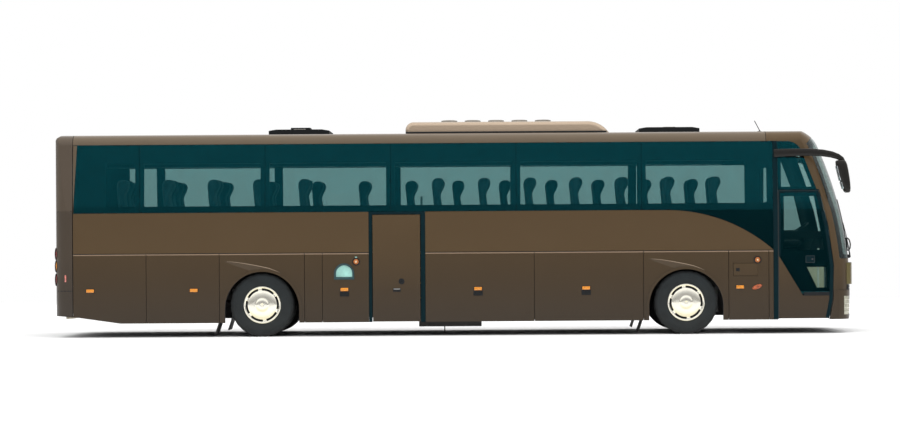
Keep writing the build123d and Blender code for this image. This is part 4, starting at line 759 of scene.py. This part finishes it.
# The front stair's riser glows though it is no lamp: painted light.
riser_painted_glow = surface("riser_glow_paint", (0.5, 0.5, 0.42), 0.6, vary=0.2, scale=6.0, sockets={
    "Emission Color": (1.0, 0.9, 0.62, 1), "Emission Strength": 0.42})
block("front_stair_riser", (5.20, 6.005), (-0.697, -0.687), (0.70, 1.07), 0.003, riser_painted_glow, "body")
# The pale pole inside the front door glows though it is no lamp: painted light.
pole_painted_glow = surface("pole_painted_glow", (0.75, 0.76, 0.70), 0.4, vary=0.1, scale=12.0, sockets={
    "Emission Color": (1.0, 0.95, 0.8, 1), "Emission Strength": 0.35})
pole_line = [(5.835, -1.20, 0.66), (5.835, -1.175, 0.72), (5.835, -1.175, 1.30), (5.835, -1.20, 1.36)]
rod("front_door_pole", pole_line, 0.016, pole_painted_glow, "front_door")
grab_y = -0.62
for label, x, low_z, high_z in (("front", 5.245, platform_z, 2.0), ("middle", -0.56, deck_z, 2.25)):
    pole_line = [(x, grab_y, low_z), (x, grab_y, low_z + 0.5), (x, grab_y, high_z)]
    rod(f"{label}_grab_pole", pole_line, 0.017, bright, "body")

# Side fittings: amber marker lamps with a sprung handle under those on the flaps,
# release knobs, turn lamps, the fuel flap's latch and the locker's small window.
amber = surface("lens_amber", (0.66, 0.23, 0.012), 0.18, vary=0.2, scale=60.0, sockets={"Coat Weight": 0.5})
knob_orange = surface("knob_orange", (0.36, 0.10, 0.010), 0.35, vary=0.2, scale=40.0)
knob_pale = surface("knob_pale", (0.66, 0.48, 0.30), 0.4, vary=0.1, scale=40.0)
marker_z = 0.752
markers = [
    ("tail_right", -5.867, -1, "body"), ("aft_right", -4.204, -1, "body"),
    ("fore_right", 4.564, -1, "body"), ("locker_right", -1.786, -1, "locker_flap_right"),
    ("bay_rear_right", 0.359, -1, "luggage_flap_right_rear"),
    ("bay_front_right", 2.094, -1, "luggage_flap_right_front"), ("tail_left", -5.867, 1, "body"),
    ("aft_left", -4.204, 1, "body"), ("fore_left", 4.564, 1, "body"),
    ("bay_rear_left", -1.519, 1, "luggage_flap_left_rear"),
    ("bay_middle_left", 0.295, 1, "luggage_flap_left_middle"),
    ("bay_front_left", 2.109, 1, "luggage_flap_left_front"),
]
for label, x, side, body in markers:
    z = marker_z
    block(f"marker_{label}_bed", (x - 0.070, x + 0.070), stand(side, 0.0005, 0.006), (z - 0.032, z + 0.032),
          0.0025, trim_black, body)
    block(f"marker_{label}_lens", (x - 0.062, x + 0.062), stand(side, 0.006, 0.018), (z - 0.026, z + 0.026),
          0.005, amber, body)
    if body != "body":
        block(f"handle_{label}_bed", (x - 0.075, x + 0.075), stand(side, 0.0005, 0.008),
              (z - 0.112, z - 0.036), 0.003, trim_black, body)
        block(f"handle_{label}_bar", (x - 0.058, x + 0.058), stand(side, 0.008, 0.021),
              (z - 0.098, z - 0.070), 0.006, trim_black, body)

knob_ring = [(0.0005, 0.062), (0.010, 0.062), (0.013, 0.057), (0.013, 0.044), (0.010, 0.042)]
knob_dome = [(0.0005, 0.042), (0.014, 0.042), (0.019, 0.038), (0.022, 0.028), (0.022, 0.016)]
knob_pin = [(0.018, 0.017), (0.026, 0.016), (0.028, 0.012), (0.0285, 0.0005)]
for label, x, z, body in (("locker", -1.597, 1.196, "locker_flap_right"), ("front", 4.847, 1.186, "body")):
    for part, line, material in (("ring", knob_ring, trim_black), ("dome", knob_dome, knob_orange),
                                 ("pin", knob_pin, knob_pale)):
        lathe(f"knob_{label}_{part}", line, (x, -skin_y, z), (0, -1, 0), 48, material, body)

turn_rows = [(0.0005, 0.084, 0.036), (0.010, 0.082, 0.034), (0.019, 0.066, 0.026), (0.024, 0.040, 0.015),
             (0.0255, 0.015, 0.006)]
turn_orange = surface("turn_orange", (0.33, 0.062, 0.010), 0.2, vary=0.5, scale=25.0,
                      sockets={"Coat Weight": 0.5})
turn_x, turn_tilt = 4.838, 0.35
turn_axes = Vector((cos(turn_tilt), 0, sin(turn_tilt))), Vector((-sin(turn_tilt), 0, cos(turn_tilt)))
for side, label in both_sides:
    bm = bmesh.new()
    loft(bm, [ring((turn_x, side * (skin_y + out), marker_z), *turn_axes, along, up, 2.0)
              for out, along, up in turn_rows])
    form("turn_lamp_" + label, bm, turn_orange, "body", 50)

block("fuel_latch_bed", (4.502, 4.560), stand(-1, 0.0005, 0.006), (1.006, 1.056), 0.003, trim_black,
      "fuel_flap")
block("fuel_latch_key", (4.522, 4.540), stand(-1, 0.006, 0.012), (1.018, 1.044), 0.003, trim_black,
      "fuel_flap")

light_x, light_low, light_spring, light_half = -1.790, 0.952, 1.009, 0.131


def arched(grow, out):
    """The outline of the locker's window, grown by an amount and stood off the flap."""
    half, low = light_half + grow, light_low - grow * 1.35
    points = [Vector((light_x - half + 2 * half * i / 12, -skin_y - out, low)) for i in range(13)]
    for i in range(25):
        turn = pi * i / 24
        points.append(Vector((light_x + half * cos(turn), -skin_y - out, light_spring + half * sin(turn))))
    return points


teal_frame = surface("teal_rubber", (0.010, 0.040, 0.046), 0.5, vary=0.2, scale=20.0)
bm = bmesh.new()
frame_rows = [(0.031, 0.0005), (0.031, 0.008), (0.027, 0.013), (0.006, 0.013), (0.001, 0.009),
              (0.001, -0.010), (-0.004, -0.012)]
rows = [[bm.verts.new(point) for point in arched(grow, out)] for grow, out in frame_rows]
for first, second in zip(rows[:-1], rows[1:]):
    for i in range(len(first)):
        j = (i + 1) % len(first)
        bm.faces.new((first[i], first[j], second[j], second[i]))
bmesh.ops.remove_doubles(bm, verts=bm.verts, dist=1e-6)
form("locker_window_frame", bm, teal_frame, "locker_flap_right", 40)
locker_glass = surface("locker_glass", (0.30, 0.56, 0.50), 0.12, vary=0.25, scale=5.0, relief=0.0,
                       sockets={"Coat Weight": 0.6})
bm = bmesh.new()
loft(bm, [arched(-0.0005, -0.010), arched(-0.0005, -0.006)])
form("locker_window_pane", bm, locker_glass, "locker_flap_right", 0)
block("locker_green_mark", (-1.614, -1.580), stand(-1, 0.0005, 0.003), (1.262, 1.276), 0.001, locker_glass,
      "locker_flap_right")

# Front: reflector bowls behind clear lenses, black grille bars, wiper arms, and
# mirrors on arms that sweep forward from the door posts.
lens_clear = pane("lens_clear", (0.92, 0.94, 0.92))
reflector = surface("lamp_reflector", (0.80, 0.78, 0.68), 0.25, metal=0.7, vary=0.12, scale=30.0,
                    relief=0.1)
bow_radius, bow_centre_x, bow_half = 5.0, 1.44, 1.037
corner_radius, corner_centre_x, corner_centre_y = 0.3, 6.0377, 0.975


def nose_x(y, out):
    """The front of the body in plan, stood off by an amount."""
    reach = abs(y)
    if reach < bow_half:
        return bow_centre_x + sqrt((bow_radius + out) ** 2 - reach**2)
    return corner_centre_x + sqrt((corner_radius + out) ** 2 - (reach - corner_centre_y) ** 2)


def band(name, line, y, z, depth, material, body, steps=24):
    """A bar that follows the bowed front or rear of the body."""
    bm = bmesh.new()
    rows = []
    for step in range(steps + 1):
        across = y[0] + (y[1] - y[0]) * step / steps
        near, far = line(across, depth[0]), line(across, depth[1])
        rows.append([Vector((near, across, z[0])), Vector((far, across, z[0])), Vector((far, across, z[1])),
                     Vector((near, across, z[1]))])
    loft(bm, rows)
    return form(name, bm, material, body)


bm = bmesh.new()
bm.from_mesh(cad["headlamps"].data)
bmesh.ops.delete(bm, geom=[face for face in bm.faces if face.normal.x < 0.25], context="FACES")
lenses = form("headlamp_lenses", bm, lens_clear, "body", turn_out=False)
sheet = lenses.modifiers.new("sheet", "SOLIDIFY")
sheet.thickness, sheet.offset = 0.003, -1
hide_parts("headlamps")
bowl_line = [(-0.060, 0.0005), (-0.058, 0.020), (-0.046, 0.044), (-0.028, 0.061), (-0.006, 0.072),
             (-0.004, 0.077), (-0.010, 0.079)]
bulb_line = [(-0.058, 0.010), (-0.030, 0.010), (-0.024, 0.007), (-0.022, 0.0005)]
lamp_z, lamp_places = 0.492, (0.70, 0.875, 1.045)
wing_lens = surface("wing_lens", (0.36, 0.35, 0.27), 0.2, vary=0.3, scale=18.0,
                    sockets={"Coat Weight": 0.5})
for side, label in both_sides:
    y = sorted((side * 0.603, side * 1.187))
    band(f"headlamp_bed_{label}", nose_x, y, (0.312, 0.594), (-0.079, -0.072), reflector, "body")
    for count, reach in enumerate(lamp_places):
        place = (nose_x(reach, -0.008), side * reach, lamp_z)
        lathe(f"headlamp_bowl_{label}_{count}", bowl_line, place, (1, 0, 0), 40, bright, "body")
        lathe(f"headlamp_bulb_{label}_{count}", bulb_line, place, (1, 0, 0), 20,
              lens_clear if count < 2 else amber, "body")
    band(f"headlamp_brow_{label}", nose_x, y, (0.572, 0.594), (-0.07, 0.004), bright, "body")
    y = sorted((side * 1.10, side * 1.222))
    band(f"headlamp_wing_{label}", nose_x, y, (0.300, 0.596), (0.0205, 0.025), wing_lens, "body", 16)
    for count in range(4):
        z = 0.335 + 0.066 * count
        band(f"headlamp_wing_rib_{label}_{count}", nose_x, y, (z, z + 0.006), (0.025, 0.028), bright,
             "body", 16)
    y = sorted((side * 1.06, side * 1.12))
    band(f"grille_end_{label}", nose_x, y, (0.697, 0.777), (0.0008, 0.016), trim_black, "body", 8)
band("grille_bed", nose_x, (-1.08, 1.08), (0.695, 0.779), (0.0005, 0.006), trim_black, "body", 40)
for count in range(3):
    z = 0.703 + 0.026 * count
    band(f"grille_bar_{count}", nose_x, (-1.06, 1.06), (z, z + 0.012), (0.006, 0.02), trim_black, "body",
         40)
for count in range(4):
    z = 0.432 + 0.034 * count
    band(f"bumper_grille_{count}", nose_x, (-0.36, 0.52), (z, z + 0.018), (0.0205, 0.028), trim_black,
         "body")

screen_radius, screen_centre_z, screen_set_back = 6.2, 0.542, 6.166


def screen_x(y, z, out):
    """The windscreen's outer face, stood off by an amount; it bows back as it rises."""
    rise = (z - screen_centre_z) / screen_radius
    return nose_x(y, out) - screen_set_back + screen_radius * sqrt(1 - rise**2)


wiper_places = (("right", -0.62), ("left", 0.38))
wiper_foot_z, wiper_pivot_z, wiper_arm = 1.215, 1.23, 0.565
blade_foot_z, blade_length, blade_shift = 1.40, 0.76, 0.05
wiper_arm_rows = [  # height, stand-off and half width
    (1.215, 0.030, 0.024), (1.26, 0.036, 0.020), (1.40, 0.034, 0.014), (1.60, 0.028, 0.010),
    (1.78, 0.020, 0.007),
]
wiper_cap_rows = [(0.001, 0.030), (0.022, 0.029), (0.040, 0.024), (0.046, 0.012)]  # stand-off and radius
wiper_loop_rows = [  # height and stand-off
    (1.33, 0.012), (1.345, 0.040), (1.40, 0.062), (1.46, 0.066), (1.51, 0.052), (1.525, 0.026),
    (1.46, 0.012), (1.39, 0.010),
]
bm = bmesh.new()
for _, y in wiper_places:
    heights = [blade_foot_z + blade_length * i / 16 for i in range(17)]
    blade = [Vector((screen_x(y + blade_shift, z, 0), y + blade_shift, z)) for z in heights]
    loft(bm, [[p + Vector((0.0015, -0.006, 0)), p + Vector((0.0015, 0.006, 0)),
               p + Vector((0.014, 0.003, 0)), p + Vector((0.014, -0.003, 0))]
              for p in blade])
    loft(bm, [ring((screen_x(y, z, out), y + blade_shift * (z - wiper_foot_z) / wiper_arm, z), (1, 0, 0),
                   (0, 1, 0), half * 0.6, half, 2.4, 12)
              for z, out, half in wiper_arm_rows])
    loft(bm, [ring((screen_x(y, wiper_pivot_z, out), y, wiper_pivot_z), (0, 1, 0), (0, 0, 1), half, half,
                   2.0, 24)
              for out, half in wiper_cap_rows])
wipers = form("wiper_arms", bm, trim_black, "body", 50)
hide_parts("wipers")
for label, y in wiper_places:
    loop_line = [(screen_x(y, z, out), y, z) for z, out in wiper_loop_rows]
    rod(f"wiper_loop_{label}", loop_line, 0.011, trim_black, "body", True)

mirror_shell = lacquer("mirror_shell", (0.007, 0.006, 0.005), (0.040, 0.034, 0.028), (0.1, 0.2), rough=0.42,
                       coat=0.12)
mirror_glass = surface("mirror_glass", (0.55, 0.58, 0.60), 0.06, metal=1.0, vary=0.03, scale=3.0,
                       relief=0.0)
arm_rows = [  # place along, outward and up, then half thickness and half height
    (5.130, 1.238, 2.895, 0.028, 0.066), (5.22, 1.276, 2.900, 0.026, 0.064),
    (5.45, 1.345, 2.904, 0.027, 0.061), (5.70, 1.400, 2.902, 0.029, 0.058),
    (5.88, 1.430, 2.888, 0.032, 0.056), (6.02, 1.453, 2.862, 0.034, 0.052),
    (6.12, 1.468, 2.826, 0.036, 0.046), (6.18, 1.475, 2.785, 0.036, 0.040),
    (6.205, 1.478, 2.742, 0.034, 0.034),
]
mirror_y = 1.475
head_rows = [  # place along and up, half depth and half width
    (6.150, 2.768, 0.035, 0.060), (6.153, 2.763, 0.062, 0.090), (6.160, 2.748, 0.078, 0.106),
    (6.172, 2.70, 0.086, 0.113), (6.192, 2.60, 0.086, 0.115), (6.213, 2.50, 0.080, 0.115),
    (6.234, 2.40, 0.071, 0.114), (6.250, 2.32, 0.059, 0.112), (6.258, 2.275, 0.047, 0.106),
    (6.262, 2.256, 0.034, 0.092), (6.263, 2.250, 0.018, 0.070),
]
for side, hand in both_sides:
    label = "mirror_" + hand
    bm = bmesh.new()
    spine = [Vector((x, side * y, z)) for x, y, z, _, _ in arm_rows]
    rings = []
    for i, (point, row) in enumerate(zip(spine, arm_rows)):
        along = (spine[min(i + 1, len(spine) - 1)] - spine[max(i - 1, 0)]).normalized()
        across = Vector((0, 0, 1)).cross(along).normalized()
        rings.append(ring(point, across, along.cross(across), row[3], row[4], 2.6))
    loft(bm, rings)
    loft(bm, [ring((x, side * mirror_y, z), (1, 0, 0), (0, 1, 0), deep, wide, 4.0, 32)
              for x, z, deep, wide in head_rows])
    head = form(label + "_moulding", bm, mirror_shell, "body", 45)
    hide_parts(label)
    for part, z, tall, x, tilt in (("main", 2.560, 0.24, 6.1125, -0.24),
                                   ("wide", 2.365, 0.11, 6.1695, -0.31)):
        block(f"{label}_glass_{part}", (x, x + 0.012), (side * mirror_y - 0.094, side * mirror_y + 0.094),
              (z - tall / 2, z + tall / 2), 0.003, mirror_glass, "body", Matrix.Rotation(tilt, 3, "Y"))

# Rear: lamps under round lenses in black rims, louvres in the lid over the engine,
# reflectors along the bumper and marker lamps at the top corners.
tail_radius, tail_centre_x = 11.6, 5.105


def tail_x(y, out):
    """The rear of the body in plan, stood off by an amount."""
    return tail_centre_x - sqrt((tail_radius + out) ** 2 - y**2)


lens_red = surface("lens_red", (0.22, 0.006, 0.005), 0.12, vary=0.15, scale=30.0,
                   sockets={"Coat Weight": 0.6})
lens_rose = surface("lens_rose", (0.62, 0.20, 0.16), 0.2, vary=0.3, scale=30.0,
                    sockets={"Coat Weight": 0.6})
pipe_metal = surface("tail_pipe", (0.42, 0.37, 0.28), 0.45, metal=0.4, vary=0.3, scale=14.0, relief=0.3)
pipe_line = [(-6.00, -0.98, 0.355), (-6.12, -1.04, 0.335), (-6.20, -1.08, 0.325), (-6.285, -1.10, 0.322)]
rod("tail_pipe", pipe_line, 0.022, pipe_metal, "body")
dress(lens_red, "tail_lamps")
cad["tail_lamps"].data.materials.append(amber)
for face in cad["tail_lamps"].data.polygons:
    face.material_index = 1 if 1.05 < face.center.z < 1.25 else 0
tail_lamp_y, tail_lamp_heights = 1.03, (0.935, 1.150, 1.350)
cap_seam = [(-6.153, 2.036), (-6.25, 2.036), (-6.33, 2.036), (-6.385, 2.033), (-6.410, 2.020)]
bumper_seam = [(-6.153, 0.753), (-6.22, 0.753), (-6.28, 0.753), (-6.34, 0.753), (-6.40, 0.753)]
rim_line = [(-0.004, 0.104), (0.002, 0.103), (0.007, 0.099), (0.008, 0.093), (0.005, 0.0865),
            (-0.004, 0.0865)]
for side, label in both_sides:
    for count, z in enumerate(tail_lamp_heights):
        place = (tail_x(tail_lamp_y, 0.004), side * tail_lamp_y, z)
        lathe(f"tail_rim_{label}_{count}", rim_line, place, (-1, 0, 0), 48, trim_black, "body")
    y = sorted((side * 0.62, side * 0.95))
    band(f"bumper_reflector_{label}", tail_x, y, (0.553, 0.597), (0.0005, 0.009), lens_red, "body", 10)
    block(f"top_marker_{label}", (-6.462, -6.412), sorted((side * 0.88, side * 0.98)), (3.148, 3.184),
          0.008, lens_red, "body", Matrix.Rotation(radians(-36), 3, "Y"))
    block(f"corner_reflector_{label}", (-6.274, -6.250), stand(side, 0.0004, 0.006), (0.900, 1.008), 0.002,
          lens_rose, "body")
    for part, line in (("cap", cap_seam), ("bumper", bumper_seam)):
        strip(f"{part}_seam_{label}", line, 0.006, side, (0.0002, 0.0014), trim_black, "body")
for count in range(9):
    z = 0.98 + 0.066 * count
    band(f"lid_louvre_{count}", tail_x, (-0.72, 0.72), (z, z + 0.036), (0.0005, 0.014), trim_black,
         "engine_lid")
band("lid_plate_bed", tail_x, (-0.29, 0.29), (0.83, 0.955), (0.0005, 0.006), trim_black, "engine_lid", 12)
band("lid_handle", tail_x, (-0.14, 0.14), (1.72, 1.75), (0.0005, 0.022), trim_black, "engine_lid", 12)

# Roof: the air conditioner's moulded hood with guarded fans, two escape hatches
# and a whip aerial.
# The hood takes a far lighter copy of the bronze: a painted highlight on its sky-facing sides, with painted
# shade towards its foot.
dress(lacquer("bronze_cooler_painted_highlight", (0.50, 0.385, 0.28), (0.30, 0.24, 0.18), (3.28, 3.33), rough=0.24, coat=0.5),
      "air_conditioner")
dress(trim_black, "roof_fittings")
guard_steel = surface("guard_steel", (0.32, 0.30, 0.27), 0.4, metal=0.5, vary=0.2, scale=20.0)
fan_top, fan_mid_x, fan_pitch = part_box("air_conditioner")[1].z, 0.668, 0.388
fan_hub = [(0.0005, 0.040), (0.006, 0.037), (0.008, 0.026), (0.0085, 0.0005)]
fan_rim = [(-0.05, 0.1325), (-0.012, 0.1325), (-0.002, 0.1315), (0.001, 0.127), (0.001, 0.119),
           (0.0003, 0.117)]
for count in range(5):
    x = fan_mid_x + fan_pitch * (count - 2)
    lathe(f"fan_rim_{count}", fan_rim, (x, 0, fan_top), (0, 0, 1), 48, guard_steel, "body")
    lathe(f"fan_hub_{count}", fan_hub, (x, 0, fan_top), (0, 0, 1), 32, trim_black, "body")
    for radius in (0.058, 0.080, 0.102):
        hoop = [(x + radius * cos(pi * i / 6), radius * sin(pi * i / 6), fan_top + 0.003)
                for i in range(12)]
        rod(f"fan_guard_{count}_{int(radius * 1000)}", hoop, 0.003, guard_steel, "body", True)
for side, label in both_sides:
    # A thin dark rubber strip along the hood's foot stands in for the shadow line under it: a painted
    # shadow.
    y = sorted((side * 0.8603, side * 0.865))
    block(f"cooler_shadow_strip_{label}", (-0.80, 2.46), y, (3.268, 3.297), 0.002, rubber, "body")
    for name, x in (("rear", -3.06), ("front", 3.01)):
        y = sorted((side * 0.36, side * 0.42))
        block(f"hatch_latch_{name}_{label}", (x + 0.40, x + 0.60), y, (3.363, 3.375), 0.005, guard_steel,
              "body")

# Stage: a plain pale floor under soft studio light, with the camera at the photograph's angle;
# only what is mirrored or lit sees the dome's darker foot.
bpy.ops.mesh.primitive_grid_add(x_subdivisions=8, y_subdivisions=8, size=56, location=(0, -6, 0))
ground = bpy.context.object
ground.name = "stage_floor"
pale = surface("stage_white", (0.93, 0.93, 0.93), 0.9, vary=0.01, scale=0.2, relief=0.0)
ground.data.materials.append(pale)

scene = bpy.context.scene
scene.view_settings.view_transform = "Standard"
world = bpy.data.worlds.new("studio")
scene.world = world
world.use_nodes = True
sky = world.node_tree
ray = node(sky, "ShaderNodeLightPath")
heading = node(sky, "ShaderNodeTexCoord")
rise_axis = node(sky, "ShaderNodeSeparateXYZ", {0: heading.outputs["Generated"]})
mirrored = ray.outputs["Is Glossy Ray"]
sky_foot = node(sky, "ShaderNodeMix", {0: mirrored, 2: 0.15, 3: -0.04}, data_type="FLOAT")
sky_base = node(sky, "ShaderNodeMix", {0: mirrored, 2: 0.03, 3: 0.10}, data_type="FLOAT")
sky_head = node(sky, "ShaderNodeMix", {0: mirrored, 2: 0.55, 3: 0.30}, data_type="FLOAT")
sky_gain = node(sky, "ShaderNodeMix", {0: mirrored, 2: 0.5, 3: 1.12}, data_type="FLOAT")
dome = node(sky, "ShaderNodeMapRange", {
    "Value": rise_axis.outputs["Z"], "From Min": sky_foot.outputs[0], "From Max": sky_head.outputs[0],
    "To Min": sky_base.outputs[0], "To Max": sky_gain.outputs[0]})
bounces = node(sky, "ShaderNodeMath", {0: ray.outputs["Diffuse Depth"], 1: ray.outputs["Glossy Depth"]},
               operation="ADD")
straight = node(sky, "ShaderNodeMath", {0: bounces.outputs[0], 1: 0.5}, operation="LESS_THAN")
strength = node(sky, "ShaderNodeMix", {0: straight.outputs[0], 2: dome.outputs[0], 3: 1.0},
                data_type="FLOAT")
sky.links.new(strength.outputs[0], sky.nodes["Background"].inputs["Strength"])
sky.nodes["Background"].inputs["Color"].default_value = (1, 1, 1, 1)


def softbox(name, place, aim, size, power):
    """A large soft lamp, seen only by what it lights."""
    light = bpy.data.lights.new(name, "AREA")
    light.shape = "RECTANGLE"
    light.size, light.size_y = size
    light.energy = power
    lamp = bpy.data.objects.new(name, light)
    scene.collection.objects.link(lamp)
    lamp.location = place
    lamp.rotation_euler = (Vector(aim) - Vector(place)).to_track_quat("-Z", "Y").to_euler()
    lamp.visible_glossy = False
    lamp.visible_camera = False
    return lamp


sun = bpy.data.lights.new("broad_sky", "SUN")
sun.energy = 2.6
sun.angle = radians(110)
sky_lamp = bpy.data.objects.new("broad_sky", sun)
scene.collection.objects.link(sky_lamp)
sky_lamp.rotation_euler = Vector((0, 0.35, -1)).to_track_quat("-Z", "Y").to_euler()
sky_lamp.visible_glossy = False
softbox("overhead", (0, -2, 11), (0, 0, 0), (22, 9), 700)
softbox("front_fill", (0, -22, 9), (0, 0, 1.2), (26, 8), 500)
softbox("rear_fill", (0, 20, 9), (0, 0, 1.5), (22, 7), 300)

camera = bpy.data.cameras.new("camera")
camera.lens = 91.96
camera.sensor_width = 36
camera.shift_x = -0.0444
camera.shift_y = 0.0322
camera.clip_end = 500
eye = bpy.data.objects.new("camera", camera)
scene.collection.objects.link(eye)
eye.matrix_world = (Matrix.Translation((0.554, -38.175, 1.435)) @ Matrix.Rotation(radians(90), 4, "X")
                    @ Matrix.Rotation(radians(-0.37), 4, "Z"))
scene.camera = eye
